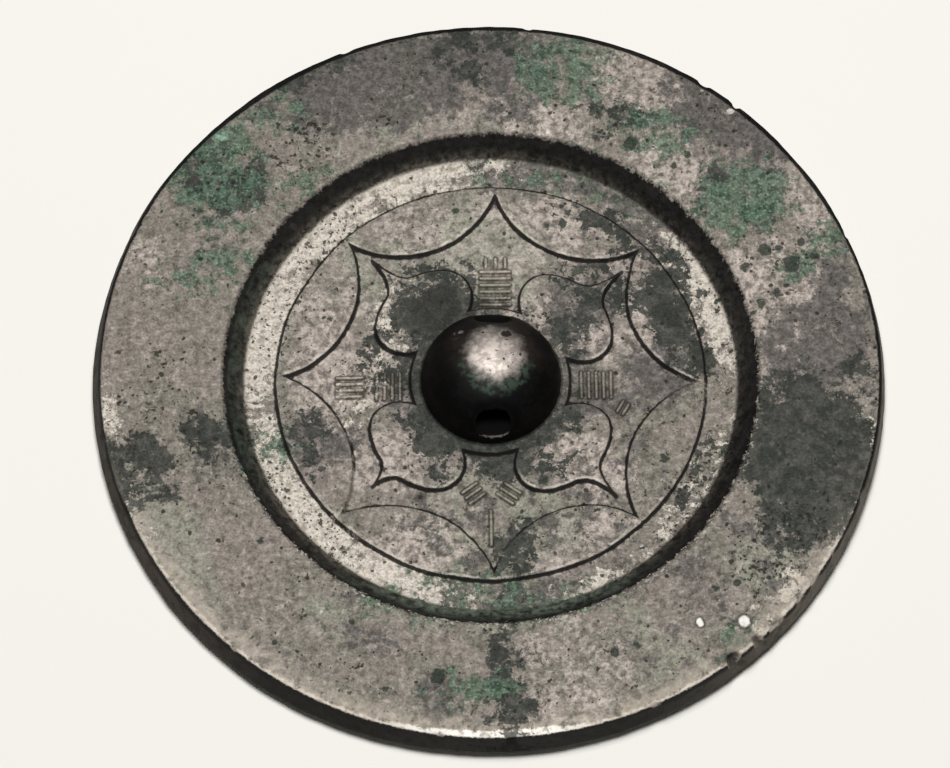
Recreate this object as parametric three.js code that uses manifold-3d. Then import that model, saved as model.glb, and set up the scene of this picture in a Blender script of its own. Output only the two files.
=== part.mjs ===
// A cast bronze mirror, lying on its mirror face with its decorated back up.
// Millimetres, +Z up, with the origin on the resting surface, on the mirror's axis.
// The back carries a broad rim, a star of eight arcs, four leaves around a pierced knob,
// and rows of short strokes between the leaves. All of it is one casting.

import * as THREE from "three";
import { mergeVertices } from "three/addons/utils/BufferGeometryUtils.js";
import Module from "manifold-3d";

// --- Driving dimensions -------------------------------------------------------------------

// The disc, from its axis outwards
const MIRROR_RADIUS = 75.5; // at the foot of the side wall
const FACE_FLAT_RADIUS = 28; // the flat spot that the mirror rests on
const FACE_SAG = 1.4; // how far the domed mirror face has fallen away at the edge
const STAR_RIM_RADIUS = 41.2; // the raised disc that the star is sunk into
const BAND_OUTER_RADIUS = 47.1; // the plain sunk band around it
const RIM_INNER_RADIUS = 51.35; // where the rim's inner slope reaches the rim's top
const RIM_EDGE_ROUNDING = 0.4;
const FACE_EDGE_ROUNDING = 0.8;
const EDGE_FLARE = 1.1; // the side wall leans out this much towards its foot

// Heights above the resting surface
const GROUND_HEIGHT = 2.2; // the star's sunk ground
const RELIEF_HEIGHT = 2.95; // arcs, leaves and the knob's round seat
const BAND_INNER_HEIGHT = 2.35;
const BAND_OUTER_HEIGHT = 2.75;
const RIM_INNER_HEIGHT = 6.45;
const RIM_CROWN_HEIGHT = 6.9;

// The star: eight points set out by eye, so not quite even, and an arc that bulges in between each two
const STAR_POINT_RADIUS = 39.45;
const STAR_POINT_DIRECTIONS = [-0.7, 43.6, 88.6, 133.3, 178.3, 224.3, 270.7, 314.4]; // degrees
const ARC_DEEPEST_RADIUS = 29.7;

// The knob, half an ellipsoid on a round seat, pierced across for a cord
const SEAT_RADIUS = 15.3;
const KNOB_RADIUS = 13.4;
const KNOB_HEIGHT = 10;
const HOLE_WIDTH = 6.8;
const HOLE_HEIGHT = 5;
const HOLE_CORNER_RADIUS = 2.3;
const HOLE_CENTRE_HEIGHT = 4.6; // above the seat
const HOLE_OFFSET = 0.4; // the hole runs a little to one side of the axis

// A leaf, with its midline along +X: two round lobes that draw in to one long tip
const LEAF_ROOT = { along: 13.6, half: 6 };
const LEAF_LOBE = { along: 19.8, half: 10.6 };
const LEAF_NECK = { along: 26.2, half: 3.8 };
const LEAF_TIP = 34.2;
const LEAF_DIRECTIONS = [42.3, 131.4, 224, 314.6]; // degrees; set out by eye, so not quite square

// Rows of short raised strokes in the four gaps between the leaves.
// Each row: its middle, the direction of a stroke, the direction of the row (degrees), stroke length, count, pitch.
const STROKE_WIDTH = 0.7;
const STROKE_HEIGHT = 0.4; // above the star's ground
const STROKE_ROWS = [
  { x: 0.9, y: 19.7, stroke: 0, row: 90, length: 5.6, count: 6, pitch: 1.4 },
  { x: 1, y: 25, stroke: 90, row: 0, length: 1.8, count: 3, pitch: 1.9 },
  { x: -27, y: -1.1, stroke: 0, row: 90, length: 4.8, count: 4, pitch: 1.3 },
  { x: -19.6, y: -1.1, stroke: 90, row: 0, length: 5.2, count: 4, pitch: 1.5 },
  { x: 20.2, y: -0.8, stroke: 90, row: 0, length: 5.2, count: 5, pitch: 1.4 },
  { x: 25.2, y: -5.6, stroke: 60, row: -30, length: 2.4, count: 2, pitch: 1.2 },
  { x: -3.4, y: -23.4, stroke: 35, row: 125, length: 3.4, count: 3, pitch: 1.3 },
  { x: 3.4, y: -23.4, stroke: -35, row: 55, length: 3.4, count: 3, pitch: 1.3 },
  { x: 0, y: -30.5, stroke: 90, row: 0, length: 7, count: 1, pitch: 0 },
];

// How finely round forms are divided
const DISC_SEGMENTS = 96;
const KNOB_SEGMENTS = 48;
const KNOB_RINGS = 10;
const ARC_SEGMENTS = 12;
const OVERLAP = 1; // how far joined forms reach into each other

// --- Solids -------------------------------------------------------------------------------

const wasm = await Module();
wasm.setup();

// A closed three.js geometry as a manifold-3d solid.
function solidOf(geometry) {
  const bare = geometry.clone();
  bare.deleteAttribute("normal");
  bare.deleteAttribute("uv");
  const merged = mergeVertices(bare, 1e-4);
  return new wasm.Manifold(
    new wasm.Mesh({
      numProp: 3,
      vertProperties: merged.attributes.position.array,
      triVerts: new Uint32Array(merged.index.array),
    }),
  );
}

// A manifold-3d solid back as a three.js geometry.
function geometryOf(solid) {
  const mesh = solid.getMesh();
  const geometry = new THREE.BufferGeometry();
  geometry.setAttribute("position", new THREE.BufferAttribute(mesh.vertProperties, 3));
  geometry.setIndex(new THREE.BufferAttribute(mesh.triVerts, 1));
  geometry.computeVertexNormals();
  return geometry;
}

// A flat shape as an upright slab between two heights, turned about the mirror's axis.
function slab(shape, bottom, top, turn) {
  const geometry = new THREE.ExtrudeGeometry(shape, {
    depth: top - bottom,
    bevelEnabled: false,
    curveSegments: ARC_SEGMENTS,
  });
  geometry.translate(0, 0, bottom);
  geometry.rotateZ(turn);
  return solidOf(geometry);
}

// --- The disc -----------------------------------------------------------------------------

// The height of the domed mirror face at a radius: flat in the middle, then falling away towards the edge.
function faceHeight(radius) {
  const run = Math.max(0, radius - FACE_FLAT_RADIUS);
  const whole = MIRROR_RADIUS - FACE_FLAT_RADIUS;
  return FACE_SAG * Math.pow(run / whole, 1.5);
}

// The plate and the rim, turned about the mirror's axis. The middle is left at the height of the relief.
function disc() {
  const topRadius = MIRROR_RADIUS - EDGE_FLARE;
  const crownRadius = (RIM_INNER_RADIUS + MIRROR_RADIUS) / 2;
  const points = [[0, 0]];
  for (const radius of [FACE_FLAT_RADIUS, 44, 60, MIRROR_RADIUS - FACE_EDGE_ROUNDING]) {
    points.push([radius, faceHeight(radius)]);
  }
  points.push(
    [MIRROR_RADIUS, FACE_SAG + FACE_EDGE_ROUNDING],
    [topRadius, RIM_CROWN_HEIGHT - RIM_EDGE_ROUNDING],
    [topRadius - 0.25 * RIM_EDGE_ROUNDING, RIM_CROWN_HEIGHT - 0.35 * RIM_EDGE_ROUNDING],
    [topRadius - RIM_EDGE_ROUNDING, RIM_CROWN_HEIGHT - 0.1 * RIM_EDGE_ROUNDING],
    [crownRadius, RIM_CROWN_HEIGHT],
    [RIM_INNER_RADIUS + RIM_EDGE_ROUNDING, RIM_INNER_HEIGHT],
    [RIM_INNER_RADIUS, RIM_INNER_HEIGHT - 0.4 * RIM_EDGE_ROUNDING],
    [BAND_OUTER_RADIUS, BAND_OUTER_HEIGHT],
    [STAR_RIM_RADIUS, BAND_INNER_HEIGHT],
    [STAR_RIM_RADIUS, RELIEF_HEIGHT],
    [0, RELIEF_HEIGHT],
  );
  const profile = points.map(([radius, height]) => new THREE.Vector2(radius, height));
  const geometry = new THREE.LatheGeometry(profile, DISC_SEGMENTS);
  geometry.rotateX(Math.PI / 2);
  return solidOf(geometry);
}

// The star's sunk ground, as the solid that is cut away above it.
function starCut() {
  const star = new THREE.Shape();
  STAR_POINT_DIRECTIONS.forEach((direction, i) => {
    const next = STAR_POINT_DIRECTIONS[i + 1] ?? STAR_POINT_DIRECTIONS[0] + 360;
    const middle = THREE.MathUtils.degToRad((direction + next) / 2);
    const halfStep = THREE.MathUtils.degToRad((next - direction) / 2);
    const halfChord = STAR_POINT_RADIUS * Math.sin(halfStep);
    const sagitta = STAR_POINT_RADIUS * Math.cos(halfStep) - ARC_DEEPEST_RADIUS;
    const arcRadius = (halfChord ** 2 + sagitta ** 2) / (2 * sagitta);
    const arcCentre = ARC_DEEPEST_RADIUS + arcRadius;
    const spread = Math.asin(halfChord / arcRadius);
    const x = arcCentre * Math.cos(middle);
    const y = arcCentre * Math.sin(middle);
    const towardsAxis = middle + Math.PI;
    star.absarc(x, y, arcRadius, towardsAxis + spread, towardsAxis - spread, true);
  });
  return slab(star, GROUND_HEIGHT, RELIEF_HEIGHT + OVERLAP, 0);
}

// --- The knob -----------------------------------------------------------------------------

function knobSeat() {
  const circle = new THREE.CylinderGeometry(SEAT_RADIUS, SEAT_RADIUS, 1, DISC_SEGMENTS / 2);
  circle.rotateX(Math.PI / 2);
  circle.scale(1, 1, RELIEF_HEIGHT - GROUND_HEIGHT + OVERLAP);
  circle.translate(0, 0, (RELIEF_HEIGHT + GROUND_HEIGHT - OVERLAP) / 2);
  return solidOf(circle);
}

// The upper half of an ellipsoid, with a short root that reaches down into the plate.
function knobDome() {
  const profile = [new THREE.Vector2(0, RELIEF_HEIGHT - OVERLAP)];
  profile.push(new THREE.Vector2(KNOB_RADIUS, RELIEF_HEIGHT - OVERLAP));
  for (let i = 0; i <= KNOB_RINGS; i++) {
    const angle = (i / KNOB_RINGS) * (Math.PI / 2);
    const radius = i === KNOB_RINGS ? 0 : KNOB_RADIUS * Math.cos(angle);
    profile.push(new THREE.Vector2(radius, RELIEF_HEIGHT + KNOB_HEIGHT * Math.sin(angle)));
  }
  const geometry = new THREE.LatheGeometry(profile, KNOB_SEGMENTS);
  geometry.rotateX(Math.PI / 2);
  return solidOf(geometry);
}

// The cord hole, straight through the knob along Y, an upright oval with full corners.
function cordHole() {
  const half = HOLE_WIDTH / 2;
  const rise = HOLE_HEIGHT / 2;
  const corner = HOLE_CORNER_RADIUS;
  const section = new THREE.Shape();
  section.absarc(half - corner, rise - corner, corner, 0, Math.PI / 2);
  section.absarc(corner - half, rise - corner, corner, Math.PI / 2, Math.PI);
  section.absarc(corner - half, corner - rise, corner, Math.PI, 1.5 * Math.PI);
  section.absarc(half - corner, corner - rise, corner, 1.5 * Math.PI, 2 * Math.PI);
  const length = 2 * (KNOB_RADIUS + OVERLAP);
  const geometry = new THREE.ExtrudeGeometry(section, {
    depth: length,
    bevelEnabled: false,
    curveSegments: 5,
  });
  geometry.translate(0, 0, -length / 2);
  geometry.rotateX(Math.PI / 2);
  geometry.translate(HOLE_OFFSET, 0, RELIEF_HEIGHT + HOLE_CENTRE_HEIGHT);
  return solidOf(geometry);
}

// --- Leaves and strokes -------------------------------------------------------------------

// One side of a leaf's outline, from its root to its tip or back, on the side given by sign.
function leafSide(shape, sign, outwards) {
  const curves = [
    [
      [LEAF_ROOT.along, LEAF_ROOT.half],
      [15, 9.2],
      [17.2, LEAF_LOBE.half],
      [LEAF_LOBE.along, LEAF_LOBE.half],
    ],
    [
      [LEAF_LOBE.along, LEAF_LOBE.half],
      [23.2, LEAF_LOBE.half],
      [25.3, 6.9],
      [LEAF_NECK.along, LEAF_NECK.half],
    ],
    [
      [LEAF_NECK.along, LEAF_NECK.half],
      [26.9, 1.4],
      [29.4, 0.4],
      [LEAF_TIP, 0],
    ],
  ];
  const run = outwards ? curves : curves.map((curve) => [...curve].reverse()).reverse();
  for (const [, b, c, d] of run) {
    shape.bezierCurveTo(b[0], sign * b[1], c[0], sign * c[1], d[0], sign * d[1]);
  }
}

function leaf(direction) {
  const outline = new THREE.Shape();
  outline.moveTo(LEAF_ROOT.along, -LEAF_ROOT.half);
  leafSide(outline, -1, true);
  leafSide(outline, 1, false);
  outline.closePath();
  return slab(outline, GROUND_HEIGHT - OVERLAP, RELIEF_HEIGHT, THREE.MathUtils.degToRad(direction));
}

// The strokes of one row, as boxes that stand on the star's ground.
function strokes(row) {
  const along = THREE.MathUtils.degToRad(row.row);
  const made = [];
  for (let i = 0; i < row.count; i++) {
    const shift = (i - (row.count - 1) / 2) * row.pitch;
    const height = STROKE_HEIGHT + OVERLAP;
    const box = new THREE.BoxGeometry(row.length, STROKE_WIDTH, height);
    box.rotateZ(THREE.MathUtils.degToRad(row.stroke));
    box.translate(
      row.x + shift * Math.cos(along),
      row.y + shift * Math.sin(along),
      GROUND_HEIGHT + STROKE_HEIGHT - height / 2,
    );
    made.push(solidOf(box));
  }
  return made;
}

// --- The casting --------------------------------------------------------------------------

function casting() {
  let solid = disc().subtract(starCut());
  const raised = [knobSeat(), knobDome()];
  raised.push(...LEAF_DIRECTIONS.map(leaf));
  raised.push(...STROKE_ROWS.flatMap(strokes));
  for (const form of raised) {
    solid = solid.add(form);
  }
  return solid.subtract(cordHole());
}

const bronze = new THREE.MeshStandardMaterial({
  name: "patinated bronze",
  color: 0x8f8780,
  roughness: 0.5,
  metalness: 0.7,
});

const mirror = new THREE.Mesh(geometryOf(casting()), bronze);
mirror.name = "bronze_mirror";

const part = new THREE.Group();
part.name = "mirror";
part.add(mirror);

export default part;
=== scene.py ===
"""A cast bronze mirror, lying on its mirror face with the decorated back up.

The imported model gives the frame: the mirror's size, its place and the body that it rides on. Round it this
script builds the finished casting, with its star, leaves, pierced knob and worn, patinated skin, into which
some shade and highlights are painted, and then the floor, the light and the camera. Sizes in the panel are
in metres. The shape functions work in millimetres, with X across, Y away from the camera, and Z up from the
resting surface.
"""

import itertools
import math
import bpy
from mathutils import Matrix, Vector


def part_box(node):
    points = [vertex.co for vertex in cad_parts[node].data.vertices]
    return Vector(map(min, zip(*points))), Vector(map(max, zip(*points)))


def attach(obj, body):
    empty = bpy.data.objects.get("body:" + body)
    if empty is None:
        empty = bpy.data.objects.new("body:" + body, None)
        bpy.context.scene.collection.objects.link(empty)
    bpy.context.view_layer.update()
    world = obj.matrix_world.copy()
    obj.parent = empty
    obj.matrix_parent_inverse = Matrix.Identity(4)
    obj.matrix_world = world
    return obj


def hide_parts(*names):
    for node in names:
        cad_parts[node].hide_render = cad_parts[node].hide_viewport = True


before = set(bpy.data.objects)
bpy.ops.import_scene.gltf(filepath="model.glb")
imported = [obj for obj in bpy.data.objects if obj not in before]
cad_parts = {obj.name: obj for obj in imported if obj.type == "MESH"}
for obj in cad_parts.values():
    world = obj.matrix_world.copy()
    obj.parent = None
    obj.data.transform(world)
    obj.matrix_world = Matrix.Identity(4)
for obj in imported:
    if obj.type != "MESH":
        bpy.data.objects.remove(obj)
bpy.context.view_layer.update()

from types import SimpleNamespace

import bmesh
import bpy
import numpy as np
from bpy.props import FloatProperty, FloatVectorProperty, PointerProperty
from mathutils import Matrix, Vector
from mathutils.geometry import delaunay_2d_cdt

bl_info = {
    "name": "Bronze Mirror",
    "version": (1, 0, 0),
    "blender": (4, 5, 0),
    "location": "3D View > Sidebar > Mirror",
    "description": "Builds a patinated bronze mirror on a pale floor, with its light and camera",
    "category": "Object",
}

CAD_NODE = "bronze_mirror"
CAD_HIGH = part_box(CAD_NODE)[1]
MM = 0.001  # one millimetre in metres


def tone(red, green, blue):
    """A screen colour, each part from 0 to 255, as the linear colour that Blender's sockets take."""
    parts = [part / 255 for part in (red, green, blue)]
    return tuple(p / 12.92 if p <= 0.04045 else ((p + 0.055) / 1.055) ** 2.4 for p in parts)


# --- Settings -----------------------------------------------------------------------------------------


def size(name, description, millimetres):
    """A length property, given in millimetres."""
    return FloatProperty(name=name, description=description, default=millimetres * MM, unit="LENGTH")


def colour(name, description, red, green, blue):
    """A colour property, given as a screen colour."""
    return FloatVectorProperty(
        name=name,
        description=description,
        default=tone(red, green, blue),
        min=0.0,
        max=1.0,
        subtype="COLOR",
    )


class CastingSizes(bpy.types.PropertyGroup):
    """The sizes of the bronze casting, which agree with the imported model."""

    mirror_radius: FloatProperty(
        name="Mirror Radius",
        description="From the axis to the foot of the side wall",
        default=CAD_HIGH.x,
        unit="LENGTH",
    )
    edge_flare: size("Edge Flare", "How far the side wall leans out towards its foot", 1.1)
    face_sag: size("Face Sag", "How far the mirror face has risen from the floor at its edge", 1.4)
    rim_crown_height: size("Rim Height", "The rim's highest line above the floor", 6.9)
    rim_inner_height: size("Rim Inner Height", "The rim's top at its inner lip", 6.45)
    rim_inner_radius: size("Rim Inner Radius", "Where the inner slope meets the rim's top", 51.35)
    band_outer_radius: size("Band Outer Radius", "The foot of the rim's inner slope", 47.1)
    band_outer_height: size("Band Outer Height", "The sunk band beside that foot", 2.75)
    band_inner_height: size("Band Inner Height", "The sunk band beside the raised disc", 2.35)
    star_rim_radius: size("Raised Disc Radius", "The disc that the star is sunk into", 41.2)
    star_point_radius: size("Star Point Radius", "From the axis to a point of the star", 39.45)
    arc_deepest_radius: size("Arc Depth Radius", "From the axis to the middle of an arc", 29.7)
    ground_height: size("Ground Height", "The star's sunk ground above the floor", 2.2)
    relief_height: size("Relief Height", "Arcs, leaves and knob seat above the floor", 2.95)
    seat_radius: size("Seat Radius", "The round seat under the knob", 15.3)
    knob_radius: size("Knob Radius", "The knob at its foot", 13.4)
    knob_height: FloatProperty(
        name="Knob Height",
        description="The knob above its seat",
        default=CAD_HIGH.z - 2.95 * MM,
        unit="LENGTH",
    )
    hole_width: size("Hole Width", "The cord hole, side to side", 6.8)
    hole_height: size("Hole Height", "The cord hole, bottom to top", 5.0)
    hole_centre_height: size("Hole Centre Height", "The cord hole's middle above the seat", 4.6)
    hole_offset: size("Hole Offset", "How far the cord hole runs to one side of the axis", 0.4)
    stroke_width: size("Stroke Width", "The short raised strokes between the leaves", 0.7)
    stroke_height: size("Stroke Height", "Those strokes above the star's ground", 0.4)
    step_softness: size("Step Softness", "Half the width over which a step rises", 0.36)


class PatinaColours(bpy.types.PropertyGroup):
    """The colours of the worn metal and of what has grown on it."""

    metal: colour("Metal", "The bare, pinkish grey bronze", 141, 132, 124)
    metal_light: colour("Light Metal", "Where the metal is palest", 162, 152, 143)
    tarnish: colour("Tarnish", "The dark grey film", 52, 56, 51)
    film: colour("Thin Film", "The thinner brownish film", 104, 99, 96)
    malachite: colour("Malachite", "The green corrosion", 100, 124, 103)
    malachite_light: colour("Light Malachite", "The palest green corrosion", 138, 168, 146)
    earth: colour("Earth", "The cream crust of dried earth", 229, 220, 206)
    olive: colour("Olive Film", "The yellowish green stain", 146, 148, 131)
    soot: colour("Soot", "The brown black in grooves and on slopes", 22, 19, 18)
    glaze: colour("Knob Skin", "The near black skin of the knob", 5, 5, 5)


class StageLook(bpy.types.PropertyGroup):
    """The floor, the light and the camera."""

    floor: colour("Floor", "The pale floor", 253, 250, 244)
    key_power: FloatProperty(
        name="Key Power",
        description="The soft lamp high up beyond the mirror",
        default=12.7,
        unit="POWER",
    )
    room_level: FloatProperty(
        name="Room Level",
        description="How bright the room is behind and around",
        default=0.06,
        min=0.0,
    )
    camera_distance: FloatProperty(
        name="Camera Distance",
        description="From the lens to the middle of the mirror",
        default=1.0,
        unit="LENGTH",
    )
    camera_height_angle: FloatProperty(
        name="Camera Height Angle",
        description="How far above the horizon the camera looks from",
        default=math.radians(65.962),
        subtype="ANGLE",
    )
    lens: FloatProperty(name="Lens", description="Focal length, in millimetres", default=197.81)


# --- Set-out of the pattern ---------------------------------------------------------------------------

# Directions of the star's points in degrees
STAR_DIRECTIONS = (-0.7, 43.6, 88.6, 133.3, 178.3, 224.3, 270.7, 314.4)

# A leaf, with its midline along +X, as three curves from root to tip. Each point is (along, half width).
LEAF_CURVES = (
    ((13.6, 6.0), (15.0, 9.2), (17.2, 10.6), (19.8, 10.6)),
    ((19.8, 10.6), (23.2, 10.6), (25.3, 6.9), (26.2, 3.8)),
    ((26.2, 3.8), (26.9, 1.4), (29.4, 0.4), (34.2, 0.0)),
)
LEAF_NECK = 26.2
LEAF_TIP = 34.2
# Direction in degrees, and how far this leaf's tip reaches
LEAVES = ((42.3, 34.4), (131.4, 34.4), (224.0, 31.4), (314.6, 33.8))

# Rows of short strokes: middle, direction of a stroke, direction of the row, length, count, pitch
STROKE_ROWS = (
    (0.9, 19.7, 0, 90, 5.6, 6, 1.4),
    (1.0, 25.0, 90, 0, 1.8, 3, 1.9),
    (-27.0, -1.1, 0, 90, 4.8, 4, 1.3),
    (-19.6, -1.1, 90, 0, 5.2, 4, 1.5),
    (20.2, -0.8, 90, 0, 5.2, 5, 1.4),
    (25.2, -5.6, 60, -30, 2.4, 2, 1.2),
    (-3.4, -23.4, 35, 125, 3.4, 3, 1.3),
    (3.4, -23.4, -35, 55, 3.4, 3, 1.3),
    (0.0, -30.5, 90, 0, 7.0, 1, 0.0),
)

# Nicks along the rim's outer edge: direction in degrees, half width, depth
EDGE_NICKS = (
    (49.7, 0.9, 0.5),
    (55.3, 1.2, 0.4),
    (23.0, 1.0, 0.3),
    (-20.0, 1.2, 0.35),
    (-29.9, 1.0, 0.5),
    (-35.5, 1.6, 0.7),
    (-39.0, 1.3, 0.5),
    (-44.0, 2.2, 0.9),
    (-48.0, 2.0, 1.2),
    (-52.5, 2.4, 1.4),
    (-66.0, 1.4, 0.4),
    (-98.0, 1.8, 0.3),
    (-131.0, 1.2, 0.35),
    (-170.0, 1.2, 0.3),
    (156.0, 1.6, 0.3),
    (112.0, 1.3, 0.25),
    (84.0, 1.0, 0.3),
)

# Where the rim swells out from a true circle: direction in degrees, spread in degrees, millimetres
EDGE_SWELLS = ((14.0, 16.0, 0.2), (60.0, 18.0, 0.27), (124.0, 16.0, 0.24), (154.0, 26.0, 0.7))

# --- Patina, as placed patches ------------------------------------------------------------------------
# Each patch: x, y, half length, half width, turn in degrees, strength. At strength 1 the patch is solid
# with a torn edge; lower strengths break up into flecks.

TARNISH_PATCHES = (
    (60.5, -18.0, 17.0, 12.8, 90, 1.35),
    (51.0, -18.0, 5.0, 10.0, 12, 0.95),
    (64.0, -3.0, 10.0, 5.0, 0, 0.5),
    (35.0, 13.6, 13.5, 4.9, 113, 1.45),
    (-10.6, 15.2, 8.8, 8.2, 60, 1.05),
    (-22.0, 5.5, 2.6, 4.0, 0, 0.72),
    (-19.5, 2.0, 5.5, 5.0, 0, 0.62),
    (17.5, 17.8, 4.8, 3.6, -20, 0.58),
    (15.5, 10.0, 4.0, 2.8, 70, 0.7),
    (17.5, 23.8, 3.0, 1.5, -20, 0.9),
    (23.8, 19.0, 1.6, 3.6, 15, 0.8),
    (-36.0, -12.0, 5.0, 3.0, 110, 0.66),
    (-54.0, -13.5, 5.5, 5.0, 0, 0.66),
    (-71.0, -21.0, 4.0, 9.5, 17, 1.2),
    (-66.0, -19.0, 6.0, 7.0, 10, 0.8),
    (3.5, -61.5, 3.4, 12.5, 0, 0.64),
    (4.0, -52.5, 3.0, 2.5, 0, 0.9),
    (5.0, -36.0, 5.5, 3.8, 60, 0.8),
    (-1.0, -16.5, 10.0, 3.4, 0, 0.8),
    (-10.5, -12.0, 7.5, 4.5, -38, 0.9),
    (12.4, -9.9, 4.8, 1.6, 34, 0.85),
    (-52.0, 41.0, 8.0, 9.0, 30, 0.6),
    (-8.0, 66.0, 6.0, 5.0, 0, 0.45),
    (-2.0, 71.5, 10.0, 3.0, 0, 0.72),
    (-34.0, 65.0, 8.0, 3.0, 28, 0.62),
    (52.0, 33.5, 2.0, 2.5, 0, 0.9),
    (43.0, 39.0, 2.5, 4.0, 0, 0.6),
    (23.5, 31.5, 7.5, 2.6, -35, 1.1),
    (34.5, 25.2, 6.0, 1.3, -53, 0.8),
    (24.0, 55.0, 5.0, 3.2, 0, 0.8),
    (41.0, -20.0, 3.0, 9.0, -28, 0.45),
)

FILM_PATCHES = (
    (48.0, 54.0, 14.5, 8.5, -38, 0.95),
    (63.0, 6.0, 11.5, 8.5, 0, 0.8),
    (38.0, -48.0, 13.5, 9.5, 30, 0.34),
    (-21.0, 63.0, 21.0, 11.0, 17, 0.95),
    (32.0, 1.5, 6.5, 6.0, 0, 0.8),
    (0.0, -45.0, 22.0, 4.0, 0, 0.7),
    (22.0, -4.0, 8.0, 4.0, 0, 0.7),
    (54.0, -36.0, 12.0, 6.5, 40, 0.45),
    (66.0, 18.0, 4.0, 5.5, 0, 0.85),
    (4.0, 64.0, 6.0, 9.0, 0, 0.75),
    (-1.0, 70.0, 13.0, 4.5, 0, 1.1),
    (18.0, 15.0, 5.0, 6.0, 0, 0.7),
    (0.0, -28.0, 14.0, 9.0, 0, 0.42),
    (9.0, 44.0, 15.0, 3.4, -10, 0.8),
    (30.0, 33.5, 12.0, 3.8, -46, 0.6),
    (-52.0, -14.0, 6.0, 7.0, 0, 0.5),
    (-33.0, -12.0, 6.0, 5.0, 0, 0.6),
    (-24.0, -53.5, 4.5, 1.8, -18, 0.85),
    (-10.0, -66.0, 3.0, 4.0, 0, 0.7),
    (30.0, -30.0, 18.0, 16.0, -45, 0.3),
    (0.0, 0.0, 18.0, 18.0, 0, 0.6),
)

GREEN_PATCHES = (
    (49.5, 36.5, 9.0, 7.5, 25, 0.9),
    (53.0, 38.0, 4.0, 4.0, 0, 1.0),
    (33.0, 51.0, 6.5, 4.0, -20, 0.62),
    (14.0, 65.0, 8.5, 7.0, 0, 0.6),
    (66.0, 28.5, 3.8, 3.2, 60, 0.85),
    (-52.0, 50.3, 5.2, 4.6, 30, 1.7),
    (-52.5, 41.0, 8.0, 9.0, 30, 0.62),
    (-52.0, 50.0, 4.5, 3.6, 0, 0.9),
    (-43.0, 56.0, 5.0, 3.0, 0, 0.5),
    (-35.0, 40.5, 3.5, 1.8, 30, 0.6),
    (-52.0, 24.0, 5.5, 3.2, 0, 0.55),
    (-58.5, 19.5, 4.0, 1.8, 0, 0.55),
    (-3.0, -64.5, 5.0, 3.0, 0, 0.6),
    (58.5, 22.5, 2.6, 2.4, 0, 0.8),
    (46.0, -56.5, 3.4, 2.4, 40, 0.8),
    (10.0, 44.0, 13.0, 3.0, -8, 0.3),
    (-43.0, -14.0, 3.0, 4.0, 0, 0.5),
    (-4.0, -45.5, 16.0, 4.5, 0, 0.4),
)

EARTH_PATCHES = (
    (42.4, 17.0, 4.2, 14.5, 24, 1.15),
    (-43.3, 10.0, 5.6, 18.0, -13, 1.25),
    (-34.6, 30.0, 5.2, 17.0, -49, 1.2),
    (-36.6, -27.5, 5.6, 21.0, 37, 1.25),
    (-43.2, -12.5, 3.2, 6.0, 12, 0.72),
    (-19.0, -40.0, 12.0, 4.5, -24, 0.95),
    (38.5, -25.0, 2.2, 12.0, -34, 0.42),
    (20.0, -43.2, 6.5, 2.0, 24, 0.6),
    (-15.0, 43.0, 17.0, 4.0, 18, 1.1),
    (51.5, -52.0, 2.4, 1.8, 45, 1.0),
    (55.5, -45.5, 4.0, 1.3, 48, 0.9),
    (-19.5, 14.0, 1.6, 6.0, -8, 0.6),
    (-73.0, -9.0, 1.2, 4.0, 8, 0.6),
    (71.6, -17.5, 1.6, 6.0, 14, 1.0),
    (67.6, -29.0, 1.6, 4.5, 24, 1.0),
    (-69.0, -29.5, 1.6, 4.5, 23, 0.8),
    (-27.5, -3.5, 5.0, 4.5, 0, 0.35),
)

OLIVE_PATCHES = (
    (0.0, 28.0, 9.0, 11.0, 0, 0.65),
    (-22.0, 24.0, 4.0, 7.0, 40, 0.55),
    (-15.5, 63.0, 3.0, 10.0, -8, 0.75),
    (28.0, 37.5, 6.0, 3.5, -45, 0.6),
    (-60.0, -36.0, 5.0, 12.0, 32, 0.66),
    (-31.0, -49.0, 4.0, 3.0, -30, 0.8),
    (0.0, -28.0, 14.0, 9.0, 0, 0.5),
    (26.5, -51.0, 6.0, 1.6, -63, 1.0),
    (34.0, -59.0, 5.0, 4.0, 30, 0.6),
    (54.0, -36.0, 10.0, 5.0, 40, 0.6),
    (-5.0, -46.0, 17.0, 5.0, 0, 0.7),
)

PALE_PATCHES = (
    (29.0, 62.0, 8.0, 6.0, -25, 0.7),
    (55.0, 19.0, 11.0, 9.0, 0, 0.62),
    (62.0, 35.0, 3.5, 8.0, 30, 0.85),
    (34.5, 44.5, 7.5, 4.5, -45, 0.9),
    (13.0, 33.5, 10.0, 5.0, -25, 1.0),
    (7.0, 54.5, 10.0, 2.6, -6, 0.65),
    (0.0, 30.0, 10.0, 9.0, 0, 1.15),
    (-31.0, 1.0, 6.0, 9.0, 0, 1.2),
    (-70.0, 30.0, 4.0, 8.0, 25, 0.6),
    (-15.0, 33.0, 8.0, 4.0, 22, 0.6),
    (28.5, 13.0, 1.8, 9.0, 15, 0.9),
    (54.0, 8.0, 4.0, 4.5, 0, 0.7),
    (15.0, -60.0, 9.0, 10.0, 0, 0.45),
    (8.0, 15.0, 4.0, 6.0, 30, 0.6),
    (20.0, 8.5, 3.4, 3.0, 0, 0.8),
    (-20.0, -16.0, 7.0, 5.5, 45, 0.95),
    (18.5, -17.0, 8.0, 6.5, -45, 0.85),
    (-25.0, 12.0, 5.0, 12.0, 20, 0.5),
    (-15.0, -34.5, 12.0, 6.0, 22, 1.1),
    (-34.0, 12.0, 3.5, 8.0, 20, 0.6),
    (17.0, -33.0, 7.0, 4.0, 22, 0.55),
    (-27.0, -1.0, 4.0, 4.0, 0, 0.6),
)

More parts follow.
